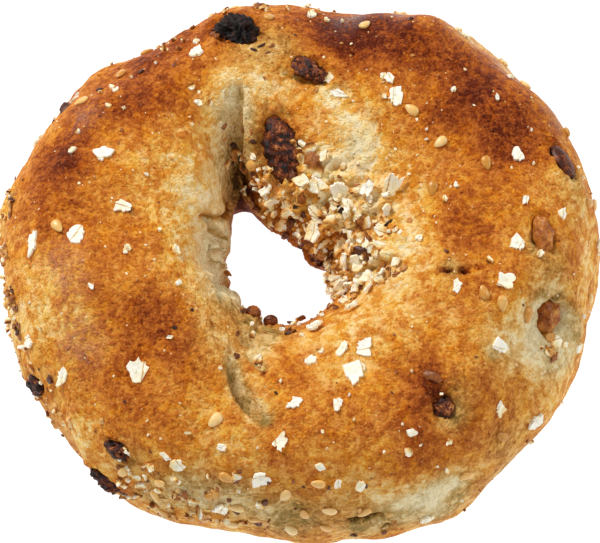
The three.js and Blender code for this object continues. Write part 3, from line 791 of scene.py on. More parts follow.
# Light that enters a skin: its weight, how far each colour goes, and the depth in millimetres
def softLight(weight, radius, depth):
    return {"Subsurface_Weight": weight, "Subsurface_Radius": radius, "Subsurface_Scale": depth * mm}


# Crust finish: a baked skin from cream to nearly black
bakedColours = [
    (0.0, "#ffecbe"), (0.1, "#fbd892"), (0.2, "#f5c470"), (0.3, "#edae51"), (0.4, "#e3993c"),
    (0.5, "#d6842d"), (0.6, "#c56f24"), (0.7, "#b05b1d"), (0.8, "#974717"), (0.9, "#7a3210"),
    (1.0, "#5a1e09"),
]
# The same skin where it is pinkish, where it is amber, and where it is olive, which is moist dough and also
# painted shade in hollows
peachColours = [(0.0, "#ffe0b2"), (0.3, "#f0b56a"), (0.5, "#da8a42"), (0.7, "#ae5519"), (1.0, "#551a07")]
amberColours = [(0.0, "#ffe6a0"), (0.25, "#f5bb4c"), (0.5, "#e28a1c"), (0.75, "#ad5009"), (1.0, "#581b04")]
oliveColours = [
    (0.0, "#eee0b6"), (0.22, "#d8c08c"), (0.42, "#bd9c5c"), (0.6, "#93793c"), (0.8, "#5a4016"),
    (1.0, "#281405"),
]
crustLook = {
    "tone": {"grit": 0.48, "grain": 0.34, "freckle": 0.28, "blotch": 0.34, "island": 0.06, "pore": 0.16,
             "blister": -0.08},  # how much each kind of mottling browns the skin
    "relief": {"grit": 0.9, "grain": 1.1, "freckle": 1.2, "island": 0.12, "pore": -0.35, "blister": 0.4},
    "peach": 0.5,
    "amber": 0.75,
    "olive": 0.8,
    # Pale grit: painted glints, small highlights on the skin's grain
    "paintedGlint": 0.3,  # pale grit
}


def crustFinish():
    f = Finish("baked_crust")
    bakeAndShade, dampAndShade, crumb, gloss, edge = (f.mark(name) for name in ("bakeAndShade", "dampAndShade", "crumb", "gloss", "edge"))
    grit = f.noise(0.5, 2.0, 0.7) - 0.5
    grain = f.noise(0.95, 2.0, 0.6) - 0.5
    freckle = f.noise(1.7, 3.0, 0.6, 0.3) - 0.5
    blotch = f.noise(4.6, 5.0, 0.62, 0.7) - 0.5
    drift = f.noise(3.2, 4.0, 0.6, 0.4) - 0.5
    patch = f.fade(blotch + freckle * 0.35, -0.06, 0.06) - 0.5
    island = f.fade(freckle + grain * 0.4, -0.07, 0.07) - 0.5
    layers = {
        "grit": grit,
        "grain": grain,
        "freckle": freckle,
        "blotch": blotch * (1 - 0.65 * f.fade(bakeAndShade, 0.5, 0.8)),  # calmer where the skin is dark
        "island": island,
        "pore": 1 - f.fade(f.cells(1.9), 0.05, 0.22),
        "blister": 1 - f.fade(f.cells(1.3), 0.06, 0.24),
    }
    tone = sum((layers[name] * share for name, share in crustLook["tone"].items()), bakeAndShade + edge * patch)
    skin = f.ramp(tone, bakedColours)
    skin = f.mix(f.fade(drift, 0.02, 0.15) * crustLook["peach"], skin, f.ramp(tone, peachColours))
    skin = f.mix(f.fade(drift, -0.01, -0.13) * crustLook["amber"], skin, f.ramp(tone, amberColours))
    # Olive skin: moist dough, and painted shade in some hollows
    skin = f.mix(dampAndShade * (crustLook["olive"] + patch * 0.3), skin, f.ramp(tone, oliveColours))
    # Painted glints: pale flecks where the grit is low
    skin = f.mix(f.fade(grit, -0.1, -0.32) * crustLook["paintedGlint"], skin, colour("#ffd89c"))
    fineRelief = sum(layers[name] * share for name, share in crustLook["relief"].items())
    dull = f.surface(
        Base_Color=skin,
        Roughness=0.6 + 0.3 * freckle + 0.3 * crumb,
        Specular_IOR_Level=0.08,
        Normal=f.bump(fineRelief, 0.5, 0.85),
        **softLight(0.03, (1.0, 0.45, 0.2), 1.0),
    )
    shiny = f.surface(
        Base_Color=skin,
        Roughness=0.27 + 0.3 * freckle,
        Specular_IOR_Level=0.6,
        Normal=f.bump(fineRelief, 0.6, 1.0),
    )
    return f.close(f.add("ShaderNodeMixShader", {}, {0: gloss * (0.8 + island * 0.6), 1: dull, 2: shiny}))


crustFaces = ringFaces(crust["around"], crust["section"])
crustSkin = meshPiece("crust", crustPoints, crustFaces, crustFinish(),
                      {"bakeAndShade": bakeAndShade, "dampAndShade": dampAndShade, "crumb": crumbly, "gloss": gloss, "edge": patchEdge})
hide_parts("dough")
print("crust: skin made,", len(crustFaces), "faces")


# Oat flakes laid one by one: ring and section angle, length, width, heading of the length in plan, toasting
laidFlakes = [
    (27, 125, 7.2, 5.0, 80, 0.25), (295, 97, 5.5, 4.3, 80, 0.0), (225, 72, 4.7, 4.3, 100, 0.1),
    (157, 81, 4.3, 3.3, 10, 0.0), (183, 76, 4.0, 3.7, 50, 0.0), (304, 108, 4.0, 3.7, 30, 0.0),
    (345, 80, 3.9, 3.3, 0, 0.1), (76, 98, 2.4, 2.2, 60, 0.3), (53, 104, 4.2, 3.4, 60, 0.0),
    (71, 105, 3.6, 1.8, 160, 0.0), (329, 66, 3.6, 3.4, 20, 0.0), (45, 139, 4.4, 3.6, 90, 0.12),
    (33, 159, 4.2, 3.8, 70, 0.25), (68, 144, 4.4, 2.6, 0, 0.2), (262, 44, 3.6, 3.3, 0, 0.0),
    (267, 66, 3.9, 2.9, 85, 0.1), (254, 19, 3.6, 3.1, 60, 0.1), (323, 19, 3.9, 3.1, 70, 0.0),
    (183, 54, 5.5, 2.3, 70, 0.05), (212, 38, 4.3, 2.3, 60, 0.1), (116, 69, 3.8, 2.8, 70, 0.05),
    (172, 96, 3.3, 2.7, 160, 0.1), (340, 96, 3.0, 1.8, 70, 0.0), (297, 111, 3.5, 1.6, 60, 0.1),
    (318, 43, 3.3, 2.5, 90, 0.3), (356, 80, 3.5, 2.9, 80, 0.0), (273, 87, 3.5, 2.3, 20, 0.0),
    (20, 84, 3.1, 2.7, 70, 0.0), (285, 84, 2.8, 1.8, 80, 0.0), (201, 32, 2.8, 2.6, 0, 0.0),
    (244, 45, 2.8, 2.6, 120, 0.2), (294, 135, 3.0, 2.3, 20, 0.0), (283, 110, 2.7, 2.3, 90, 0.0),
    (4, 60, 2.7, 1.8, 80, 0.1), (58, 99, 2.5, 2.1, 100, 0.0), (330, 165, 3.0, 2.4, 20, 0.1),
    (46, 154, 3.6, 2.2, 150, 0.35), (79, 172, 3.4, 3.0, 40, 0.45), (91, 154, 3.4, 2.2, 10, 0.05),
    (241, 48, 2.4, 1.3, 150, 0.1), (34, 132, 3.4, 2.6, 80, 0.0), (28, 141, 3.2, 2.2, 100, 0.1),
    (21, 157, 4.4, 3.4, 60, 0.6), (17, 145, 4.2, 3.2, 40, 0.7), (9, 161, 3.8, 3.0, 110, 0.35),
    (331, 148, 2.6, 2.0, 30, 0.1), (333, 135, 2.8, 2.2, 90, 0.3), (347, 125, 2.4, 1.8, 30, 0.1),
    (318, 132, 2.8, 1.6, 40, 0.1), (296, 169, 2.6, 2.2, 90, 0.5),
]
laidSeeds = [
    (46, 105), (32, 105), (20, 96), (18, 116), (180, 67), (340, 86), (340, 60), (339, 77), (315, 31),
    (305, 23), (257, 20), (256, 2), (251, 12), (252, 29), (261, 12), (250, 73), (97, 180), (103, 147),
]
# More flakes of the heap on the side of the hole, over those above
heapFlakes = [
    (39, 142, 2.8, 1.8, -30, 0.15), (33, 141, 2.6, 1.6, -60, 0.1), (28, 143, 2.4, 1.8, 40, 0.2),
    (13, 163, 5.0, 3.8, 60, 0.3), (22, 142, 3.8, 2.4, 60, 0.35), (50, 170, 2.4, 1.8, 0, 0.15),
    (27, 173, 3.2, 2.2, 20, 0.5), (20, 177, 3.4, 2.2, -20, 0.35), (345, 146, 2.4, 1.8, 40, 0.2),
    (337, 157, 2.8, 2.2, 0, 0.1), (338, 147, 2.8, 2.2, 80, 0.15), (339, 141, 2.8, 2.3, 60, 0.1),
    (341, 180, 3.2, 2.4, 110, 0.1), (60, 144, 3.0, 2.2, 120, 0.2), (53, 147, 2.6, 2.0, 30, 0.25),
    (41, 150, 3.4, 2.6, 70, 0.3), (30, 150, 3.2, 2.4, 10, 0.4), (5, 150, 3.2, 2.4, 120, 0.3),
    (358, 146, 2.6, 2.0, 20, 0.35), (352, 152, 3.0, 2.2, 80, 0.25), (10, 150, 3.6, 2.4, 50, 0.5),
    (62, 160, 3.0, 2.2, 140, 0.45), (72, 160, 2.8, 2.0, 10, 0.3), (85, 163, 2.6, 2.0, 60, 0.4),
    (340, 137, 2.2, 1.6, 30, 0.2), (26, 165, 3.4, 2.6, 90, 0.5), (350, 160, 3.0, 2.4, 40, 0.5),
    (20, 133, 2.8, 2.0, 100, 0.15), (338, 33, 3.0, 2.2, 40, 0.3), (335, 37, 2.2, 1.6, 100, 0.5),
    (339, 28, 1.8, 1.2, 20, 0.2),
]
# Dark and red-brown pips laid one by one: ring and section angle, length, width, heading, toasting
laidPips = [
    (12, 134, 4.4, 1.5, 62, 0.95), (352, 140, 3.0, 2.1, 150, 0.72), (32, 144, 2.0, 1.1, 20, 1.0),
    (63, 151, 2.6, 1.9, 100, 0.55), (65, 155, 1.6, 0.8, 30, 1.0), (56, 158, 1.2, 1.1, 0, 0.85),
    (10, 170, 2.4, 1.7, 110, 0.6), (70, 134, 3.0, 2.6, 60, 0.5), (80, 141, 3.1, 2.6, 40, 0.72),
    (92, 139, 2.0, 1.3, 90, 0.45), (312, 79, 3.2, 1.5, 165, 0.62), (210, 30, 1.8, 1.6, 0, 0.8),
    (131, 60, 1.4, 1.0, 0, 0.8), (141, 50, 1.4, 1.0, 0, 0.8), (179, 179, 2.6, 1.3, 90, 0.45),
    (98, 45, 3.0, 1.6, 10, 0.7), (108, 66, 3.4, 1.3, 150, 0.75), (146, 20, 3.2, 2.0, 60, 0.8),
    (114, 150, 2.6, 2.2, 100, 0.4), (110, 158, 3.0, 1.8, 30, 0.5), (225, 98, 1.0, 0.8, 0, 0.9),
    (344, 120, 1.6, 1.2, 20, 0.4), (9, 125, 1.4, 1.0, 0, 0.4), (98, 82, 1.7, 0.5, 30, 0.95),
    (100, 84, 1.4, 0.6, -20, 0.9), (96, 86, 1.2, 0.5, 20, 0.7), (65, 171, 2.0, 1.4, 50, 0.6),
    (15, 171, 2.6, 1.2, 130, 0.7), (356, 143, 2.8, 2.0, 0, 0.8), (356, 152, 3.0, 2.4, 40, 0.25),
    (36, 145, 1.8, 0.9, 10, 1.0), (252, 113, 1.4, 1.1, 60, 0.75), (249, 128, 1.5, 0.7, 60, 0.7),
    (339, 37, 3.2, 2.2, 70, 0.3), (335, 33, 2.4, 1.6, 20, 0.55), (110, 64, 2.6, 1.8, 120, 0.6),
]
# Smaller chips of flake: ring and section angle, length
laidChips = [
    (121, 89, 1.6), (121, 98, 1.8), (154, 62, 1.2), (159, 65, 1.8), (139, 57, 1.6), (189, 99, 1.6),
    (191, 122, 2.3), (210, 114, 1.4), (199, 79, 1.4), (118, 149, 1.8), (43, 90, 1.4), (7, 81, 1.8),
    (354, 68, 2.1), (350, 89, 1.6), (305, 49, 1.6), (299, 62, 2.3), (296, 55, 2.1), (285, 84, 2.0),
    (323, 151, 2.1), (253, 60, 1.8), (257, 47, 1.8), (276, 55, 2.2), (279, 45, 1.8), (261, 114, 2.3),
    (60, 99, 1.8), (56, 106, 1.6), (51, 106, 1.5), (358, 118, 1.6), (12, 112, 1.5), (16, 108, 1.3),
]
# Loose toppings by region, laid by the rule that lays them on the solid: kind, how many, ring and section
# angles, first and last size, free space around each
scatter = [
    ("flake", 10, (-20, 85), (128, 168), (3.4, 2.4), 3.0),
    ("flake", 14, (0, 360), (0, 60), (3.2, 2.4), 9.0),
    ("seed", 12, (226, 285), (0, 46), (3.0, 2.7), 4.5),
    ("seed", 12, (0, 360), (0, 70), (3.0, 2.7), 9.0),
]
holeFrom = 118  # section angle from which a topping lies in the hole


def isClear(point, length, others, space):
    for piece in inclusions.values():
        if np.linalg.norm(point - piece["origin"]) <= piece["size"][0] / 2 + 1 + length / 2:
            return False
    return all(np.linalg.norm(point - other) > space for other in others)


def scatterPlaces():
    draw = Draw(drawSeeds["scatter"])
    taken = [doughPoint(*np.radians(spot[:2])) for spot in laidFlakes + laidSeeds]
    places = []
    for kind, count, ringSpan, sectionSpan, sizes, space in scatter:
        for k in range(count):
            length = blendTo(*sizes, k / count)
            for attempt in range(40):
                at = (draw.between(*ringSpan), draw.between(*sectionSpan))
                point = doughPoint(*np.radians(at))
                if isClear(point, length, taken, space):
                    places.append((kind, at, length, draw.between(0, 360)))
                    taken.append(point)
                    break
    return places


# A rolled oat flake: a torn plate with straight breaks, a ragged side, bites and a crack
flake = {
    "sectors": 30,
    "chipSectors": 16,
    "chipLength": 2.4,
    "rings": (0.02, 0.5, 0.94),
    "thick": 0.55,
    "corners": (4, 7),
    "chip": 0.42,
    "jag": 0.15,
    "bites": 4,
    "bite": 0.34,
    "curl": 0.07,
    "buckle": 0.06,
    "lift": 0.2,
}


# How far a flake reaches at each angle
def flakeRim(draw, angles):
    count = int(draw.between(*flake["corners"]))
    corners = [(k + draw.between(-0.32, 0.32)) / count * 2 * np.pi for k in range(count)]
    reach = [1 - flake["chip"] * draw.between(0, 1) for k in range(count)]
    corner = np.stack([np.cos(corners) * reach, np.sin(corners) * reach])
    ragged = np.clip(np.cos(angles - draw.between(0, 6.3)) * 1.5, 0.1, 1)
    jags = [flake["jag"] * draw.between(-1, 1) for k in angles]
    rim = np.interp(angles, *polarRim(corner)) + ragged * jags
    for k in range(flake["bites"]):
        away = np.abs((angles - draw.between(0, 6.3) + np.pi) % (2 * np.pi) - np.pi)
        rim = rim * (1 - flake["bite"] * draw.between(0, 1) * bell(away, draw.between(0.12, 0.3)))
    return rim


def flakeMesh(draw, length, width, curl):
    sectors = flake["sectors"] if length > flake["chipLength"] else flake["chipSectors"]
    rings = len(flake["rings"])
    angles = np.arange(sectors) / sectors * 2 * np.pi
    rim = flakeRim(draw, angles)
    rimX, rimY = np.cos(angles) * rim, np.sin(angles) * rim
    spanX, spanY = np.ptp(rimX) / 2, np.ptp(rimY) / 2
    bend, twist = curl * draw.between(0.3, 1.6), curl * draw.between(-1, 1)
    phase, crack = draw.between(0, 6.3), draw.between(-1.1, 1.1)
    slope, golden = draw.between(-0.6, 0.6), draw.between(0, 6.3)
    layers = [(side, share) for side in (1, -1) for share in flake["rings"]] + [(0, 1.0)]
    points = []
    for side, share in layers:
        x, y = rimX * share / spanX, rimY * share / spanY
        waves = np.sin(5 * x + phase) + np.sin(4 * y + phase) + [draw.between(-1, 1) for k in angles]
        z = side * 0.5 * flake["thick"] + length * 0.5 * (bend * (x ** 2 - 0.3) + twist * x * y)
        points.append(np.stack([x * length / 2, y * width / 2, z + flake["buckle"] * waves], -1))
    order = [*range(rings), 2 * rings, *range(2 * rings - 1, rings - 1, -1)]
    faces = []
    for inner, outer in zip(order[:-1], order[1:]):
        for s in range(sectors):
            t = (s + 1) % sectors
            faces.append([row * sectors + k for row, k in ((inner, s), (outer, s), (outer, t), (inner, t))])
    faces.append(list(range(sectors)))
    faces.append([rings * sectors + s for s in reversed(range(sectors))])
    flat = np.concatenate(points)
    along, across = flat[:, 0] / length * 2, flat[:, 1] / width * 2
    marks = {
        "rim": np.repeat([share for side, share in layers], sectors),
        "crack": across - crack - slope * along,
        "golden": along * math.cos(golden) + across * math.sin(golden),
    }
    return flat, faces, marks


# Angle and reach of a closed outline with straight edges between its corners
def polarRim(corner):
    closed = np.concatenate([corner, corner[:, :1]], 1)
    steps = np.linspace(0, 1, 12, endpoint=False)
    edge = (closed[:, :-1, None] * (1 - steps) + closed[:, 1:, None] * steps).reshape(2, -1)
    angles, reach = np.mod(np.arctan2(edge[1], edge[0]), 2 * np.pi), np.hypot(*edge)
    order = np.argsort(angles)
    angles, reach = angles[order], reach[order]
    wrap = 2 * np.pi
    return np.concatenate([angles - wrap, angles, angles + wrap]), np.tile(reach, 3)


# A sesame seed: an egg outline, flattened and pointed at one end
sesame = {
    "length": (2.7, 3.2),
    "width": 0.64,
    "thick": 0.38,
    "taper": 0.30,
    "around": 14,
    "along": 10,
    "lift": 0.28,
}


def seedMesh(length):
    t = np.linspace(0, np.pi, sesame["along"] + 1)[1:-1]
    x = -np.cos(t)
    spread = np.sin(t) ** 0.9 * (1 - sesame["taper"] * x)
    turn = np.arange(sesame["around"]) / sesame["around"] * 2 * np.pi
    body = np.stack([
        np.repeat(x, sesame["around"]),
        np.outer(spread, np.cos(turn)).ravel() * sesame["width"],
        np.outer(spread, np.sin(turn)).ravel() * sesame["thick"]], -1)
    points = np.concatenate([body, [[-1, 0, 0], [1, 0, 0]]]) * length / 2
    n, last = sesame["around"], (len(t) - 1) * sesame["around"]
    after = [(s + 1) % n for s in range(n)]
    faces = [(k + n + s, k + n + after[s], k + after[s], k + s) for k in range(0, last, n) for s in range(n)]
    faces += [(s, after[s], len(body)) for s in range(n)]
    faces += [(last + after[s], last + s, len(body) + 1) for s in range(n)]
    return points, faces


def seatOnCrust(at, turn, lift, tilt=(0, 0, 0)):
    origin, up = crustAt(*at)
    up = unit(up + np.array(tilt))
    return seatAxes(up, math.radians(at[0]), turn), origin + up * lift


def tiltOf(draw, amount):
    return [draw.between(-amount, amount) for k in range(3)]


def layFlake(heap, draw, at, length, width, turn, toast, curl, tilt=0.0, lift=0.0):
    points, faces, marks = flakeMesh(draw, length, width, curl)
    axes, origin = seatOnCrust(at, turn, flake["lift"] + lift, tiltOf(draw, tilt))
    heap.add(points @ axes + origin, faces, toast=toast, **marks)


flakeColours = [(0.0, "#fffcee"), (0.2, "#fff5d4"), (0.42, "#f7dd9f"), (0.65, "#d6923c"), (1.0, "#7c4014")]


def flakeFinish():
    f = Finish("oat_flake")
    toast, rim, crack, golden = (f.mark(name) for name in ("toast", "rim", "crack", "golden"))
    powder = f.noise(0.35, 3.0, 0.65) - 0.5
    stain = f.noise(1.4, 3.0, 0.6, 0.5) - 0.5
    line = crack + stain * 0.5
    split = 1 - f.fade(line * line, 0.0, 0.006)
    tone = toast * (1 + golden * 1.1) + stain * 0.7 + powder * 0.25 + rim ** 8 * 0.08 + split * 0.45
    skin = f.ramp(tone, flakeColours)
    return f.done(
        Base_Color=skin,
        Roughness=0.62 + 0.3 * powder,
        Specular_IOR_Level=0.3,
        Normal=f.bump(powder + stain * 1.5 - split, 0.22, 0.9),
        # A faint glow in the flake's own colour: painted light that lifts the flakes' shaded sides
        Emission_Color=skin,
        Emission_Strength=0.1,
        **softLight(0.12, (1.0, 0.8, 0.5), 0.6),
    )


seedColours = [(0.0, "#fadfa2"), (0.35, "#efbe6c"), (0.7, "#d29238"), (1.0, "#985812")]


def seedFinish():
    f = Finish("sesame_seed")
    toast = f.mark("toast")
    cloud = f.noise(0.9, 3.0, 0.55) - 0.5
    skin = f.ramp(toast + cloud * 0.5, seedColours)
    return f.done(
        Base_Color=skin,
        Roughness=0.32 + 0.2 * cloud,
        Specular_IOR_Level=0.5,
        Normal=f.bump(cloud, 0.08, 0.5),
        **softLight(0.25, (1.0, 0.6, 0.25), 0.8),
    )


flakeHeap, seedHeap, branHeap, speckHeap = Heap(), Heap(), Heap(), Heap()


def laySeed(draw, at, length, turn):
    axes, origin = seatOnCrust(at, turn, sesame["lift"], tiltOf(draw, 0.15))
    points, faces = seedMesh(length)
    seedHeap.add(points @ axes + origin, faces, toast=draw.between(0.1, 0.75))


def layToppings():
    draw = Draw(drawSeeds["toppings"])
    for ringAngle, sectionAngle, length, width, heading, toast in laidFlakes + heapFlakes:
        at, turn = (ringAngle, sectionAngle), heading - ringAngle - 90
        curl, tilt, lift = (0.14, 0.3, 0.7) if sectionAngle > holeFrom else (flake["curl"], 0.06, 0.0)
        layFlake(flakeHeap, draw, at, length, width, turn, toast, curl, tilt, lift)
    for ringAngle, sectionAngle, length in laidChips:
        at, turn = (ringAngle, sectionAngle), draw.between(0, 360)
        toast = 0.6 * draw.between(0, 1) ** 2
        layFlake(flakeHeap, draw, at, length, length * 0.75, turn, toast, flake["curl"], 0.2)
    placed = [("seed", at, draw.between(*sesame["length"]), draw.between(0, 360)) for at in laidSeeds]
    for kind, at, length, turn in placed + scatterPlaces():
        if kind == "seed":
            laySeed(draw, at, length, turn)
        elif at[1] > holeFrom:
            toast = draw.between(0.12, 0.55)
            layFlake(flakeHeap, draw, at, length, length * 0.8, turn, toast, 0.12, 0.6, 0.3)
        else:
            toast = draw.between(0.0, 0.25)
            layFlake(flakeHeap, draw, at, length, length * 0.8, turn, toast, flake["curl"], 0.1)


# Small chips, bran and crumbs, heaped where the dough was torn and along the rims: kind, how many, ring
# and section angles, sizes, how deep they are toasted, how far they stand off
crumbRegions = [
    ("chip", 130, (-28, 100), (126, 180), (1.2, 3.9), (0.08, 0.7), 0.6),
    ("bran", 90, (-35, 110), (128, 184), (0.5, 2.0), (0.0, 0.75), 0.4),
    ("bran", 34, (240, 345), (140, 172), (0.5, 1.6), (0.2, 0.9), 0.2),
    ("chip", 14, (255, 345), (132, 165), (1.0, 2.0), (0.0, 0.5), 0.2),
    ("bran", 46, (98, 116), (118, 182), (0.5, 1.8), (0.2, 0.9), 0.3),
    ("chip", 10, (98, 112), (140, 182), (1.2, 2.8), (0.1, 0.6), 0.4),
    ("chip", 34, (166, 214), (-8, 26), (1.0, 2.6), (0.1, 0.8), 0.3),
    ("bran", 44, (162, 222), (-12, 30), (0.5, 1.8), (0.1, 0.8), 0.2),
    ("chip", 46, (232, 264), (0, 44), (1.0, 2.8), (0.2, 0.8), 0.3),
    ("bran", 60, (225, 290), (-4, 46), (0.5, 1.7), (0.1, 0.8), 0.2),
    ("chip", 26, (80, 125), (5, 60), (0.9, 2.2), (0.1, 0.6), 0.2),
    ("bran", 90, (0, 360), (-10, 120), (0.4, 1.2), (0.2, 1.0), 0.05),
    ("chip", 70, (0, 360), (-10, 118), (0.6, 1.6), (0.0, 0.55), 0.1),
    ("speck", 340, (0, 360), (-12, 126), (0.28, 0.8), (0.0, 0.6), 0.0),
    ("speck", 110, (-25, 90), (95, 165), (0.3, 0.8), (0.0, 0.5), 0.1),
]
# Knots of toasted crumbs: ring and section angle, reach in millimetres, how many, how deep they are toasted
crumbKnots = [
    (102, 71, 1.8, 9, (0.05, 0.5)), (246, 26, 2.0, 12, (0.1, 0.6)), (244, 3, 2.6, 16, (0.1, 0.6)),
    (253, 33, 1.8, 9, (0.05, 0.5)), (172, 34, 2.2, 12, (0.2, 0.8)), (191, 28, 2.6, 14, (0.2, 0.8)),
    (197, 22, 2.2, 10, (0.2, 0.9)), (24, 174, 2.6, 16, (0.1, 0.6)), (25, 184, 2.4, 14, (0.2, 0.8)),
    (341, 128, 3.0, 18, (0.1, 0.7)), (332, 150, 2.4, 12, (0.2, 0.9)), (110, 158, 2.2, 12, (0.3, 1.0)),
    (181, 30, 1.6, 8, (0.1, 0.7)), (98, 47, 2.0, 10, (0.1, 0.8)), (262, 8, 2.2, 10, (0.1, 0.6)),
    (38, 173, 2.4, 12, (0.2, 0.8)), (10, 165, 2.2, 10, (0.2, 0.9)), (71, 183, 2.2, 10, (0.4, 1.0)),
    (51, 183, 2.2, 10, (0.4, 1.0)), (30, 182, 2.4, 12, (0.4, 1.0)), (353, 179, 2.0, 8, (0.4, 1.0)),
    (65, 170, 2.0, 8, (0.3, 0.9)), (8, 178, 2.0, 10, (0.3, 1.0)), (335, 35, 1.4, 7, (0.2, 0.7)),
]
ballSmall, ballTiny = icoBall(2), icoBall(1)

branColours = [(0.0, "#f6d592"), (0.25, "#dda04a"), (0.5, "#a8601e"), (0.75, "#5f2a0c"), (1.0, "#210c05")]


def branFinish():
    f = Finish("bran_crumb")
    toast = f.mark("toast")
    streak = f.noise(0.5, 3.0, 0.6) - 0.5
    skin = f.ramp(toast + streak * 0.5, branColours)
    return f.done(
        Base_Color=skin,
        Roughness=0.5 + 0.3 * streak,
        Normal=f.bump(streak, 0.12, 0.7),
        **softLight(0.1, (1.0, 0.6, 0.25), 0.5),
    )


def speckFinish():
    f = Finish("flour_speck")
    tone = f.mark("toast") + f.noise(0.3, 2.0, 0.6) * 0.4 - 0.2
    skin = f.ramp(tone, [(0.0, "#fff3d2"), (0.4, "#f8dfaa"), (1.0, "#d49a50")])
    return f.done(Base_Color=skin, Roughness=0.7, Normal=f.bump(tone, 0.05, 0.5))


def crumbMesh(draw, ball, length, width, height):
    points, faces = ball
    shift = draw.between(0, 50)
    rough = 1 + 0.8 * noiseAt(points + shift, 0.8, noiseSeeds["looseCrumbs"])
    return points * rough[:, None] * (length / 2, width / 2, height / 2), faces


def layCrumb(heap, draw, ball, at, size, turn, toast, lift):
    width, height = size * draw.between(0.45, 0.9), size * draw.between(0.3, 0.6)
    points, faces = crumbMesh(draw, ball, size, width, height)
    axes, origin = seatOnCrust(at, turn, lift, tiltOf(draw, 0.4))
    heap.add(points @ axes + origin, faces, toast=toast)


def layRegions(draw):
    for kind, count, ringSpan, sectionSpan, sizes, toasts, off in crumbRegions:
        for k in range(count):
            at = (draw.between(*ringSpan), draw.between(*sectionSpan))
            size = blendTo(*sizes, draw.between(0, 1) ** 2)
            turn, toast = draw.between(0, 360), draw.between(*toasts)
            lift = draw.between(0, off)
            if kind == "chip":
                width = size * draw.between(0.5, 0.9)
                layFlake(flakeHeap, draw, at, size, width, turn, toast, 0.1, 0.9 * off / 0.3, lift)
            elif kind == "bran":
                layCrumb(branHeap, draw, ballSmall, at, size, turn, toast, lift + 0.1 * size)
            else:
                layCrumb(speckHeap, draw, ballTiny, at, size, turn, toast, lift + 0.05 * size)


def layKnots(draw):
    for ringAngle, sectionAngle, reach, count, toasts in crumbKnots:
        for k in range(count):
            share, way = draw.between(0, 1) ** 0.7, draw.between(0, 2 * math.pi)
            out = reach * share
            at = (ringAngle + 1.2 * out * math.cos(way), sectionAngle + 2 * out * math.sin(way))
            size, turn, toast = draw.between(0.6, 1.7), draw.between(0, 360), draw.between(*toasts)
            layCrumb(branHeap, draw, ballSmall, at, size, turn, toast, 0.7 * (1 - share))


def layPips(draw):
    for ringAngle, sectionAngle, length, width, heading, toast in laidPips:
        points, faces = crumbMesh(draw, ballSmall, length, width, 0.7 * width)
        at, turn = (ringAngle, sectionAngle), heading - ringAngle - 90
        axes, origin = seatOnCrust(at, turn, 0.1 * width, tiltOf(draw, 0.2))
        branHeap.add(points @ axes + origin, faces, toast=toast)


layToppings()
crumbDraw = Draw(drawSeeds["crumbs"])
layRegions(crumbDraw)
layKnots(crumbDraw)
layPips(crumbDraw)
flakeHeap.make("oat_flakes", flakeFinish(), "crust", 32)
seedHeap.make("sesame_seeds", seedFinish(), "crust")
branHeap.make("bran_crumbs", branFinish(), "crust", 24)
speckHeap.make("flour_specks", speckFinish(), "crust", 30)


# Raisins, kernels and nuts: the solid's form, then its wrinkles
def raisinForm(p, twist):
    wave = np.sin(2.6 * p[:, 0] + 2.1 * p[:, 1] + twist) * np.cos(2.9 * p[:, 2] - 1.7 * p[:, 0])
    return 1 + 0.07 * np.sin(4.5 * p[:, 1] - 3.1 * p[:, 0] + 2 * twist) + 0.13 * wave


def kernelForm(p, twist):
    return 1 - 0.16 * np.maximum(p[:, 0], 0) ** 2 + 0.016 * np.sin(14 * np.arctan2(p[:, 2], p[:, 1]))


def nutForm(p, twist):
    return 1 + 0.12 * np.sin(5 * p[:, 0] + 2) * np.sin(6 * p[:, 1] + 1) - 0.12 * np.abs(p[:, 2]) ** 3


fruits = {
    "raisin": {
        "form": raisinForm,
        "wrinkles": [(1.6, 0.5), (0.7, 0.28), (0.32, 0.12)],  # size, height
        "finish": "raisin_skin",
        "colours": [(0.0, "#0d0503"), (0.25, "#331006"), (0.48, "#6e2c0f"), (0.7, "#a35626"),
                    (0.92, "#cf8f4c")],
        "mottle": 1.4,
        "contrast": 1.0,
        "shine": 0.3,
        "bump": 0.2,
    },
    "kernel": {
        "form": kernelForm,
        "wrinkles": [(1.4, 0.08), (0.4, 0.03)],
        "finish": "toasted_kernel",
        "colours": [(0.1, "#43190a"), (0.4, "#84400f"), (0.6, "#a85f25"), (0.9, "#cf8f4c")],
        "mottle": 2.2,
        "contrast": 0.7,
        "shine": 0.4,
        "bump": 0.06,
    },
    "nut": {
        "form": nutForm,
        "wrinkles": [(1.8, 0.20), (0.6, 0.07)],
        "finish": "toasted_nut",
        "colours": [(0.0, "#4a1b05"), (0.22, "#8a4312"), (0.45, "#b96c25"), (0.75, "#dda350")],
        "mottle": 2.2,
        "contrast": 0.6,
        "shine": 0.3,
        "bump": 0.1,
    },
}
charred = {
    "raisin_burnt": 0.85, "raisin_hole": 0.12, "raisin_rim": 0.2, "raisin_crown": 0.15, "raisin_low": 0.3,
    "raisin_left": 0.2, "kernel_side": 0.4,
}
craggy = {"raisin_burnt": 2.4, "raisin_rim": 1.3, "raisin_low": 1.4}  # times the usual wrinkles


def fruitFinish(fruit):
    f = Finish(fruit["finish"])
    char = f.mark("char")
    fine = f.noise(0.28, 3.0, 0.65) - 0.5
    patch = f.noise(fruit["mottle"], 3.0, 0.6, 0.4) - 0.5
    tone = (patch * 2.4 + fine * 1.5) * fruit["contrast"] + 0.42 - char * 0.6
    return f.done(
        Base_Color=f.ramp(tone, fruit["colours"]),
        Roughness=0.5 + 0.4 * fine + 0.1 * char - 0.3 * fruit["shine"],
        Specular_IOR_Level=0.25 + 0.3 * fruit["shine"],
        Normal=f.bump(fine + patch, fruit["bump"], 0.9),
        **softLight(0.05, (1.0, 0.35, 0.15), 0.8),
    )


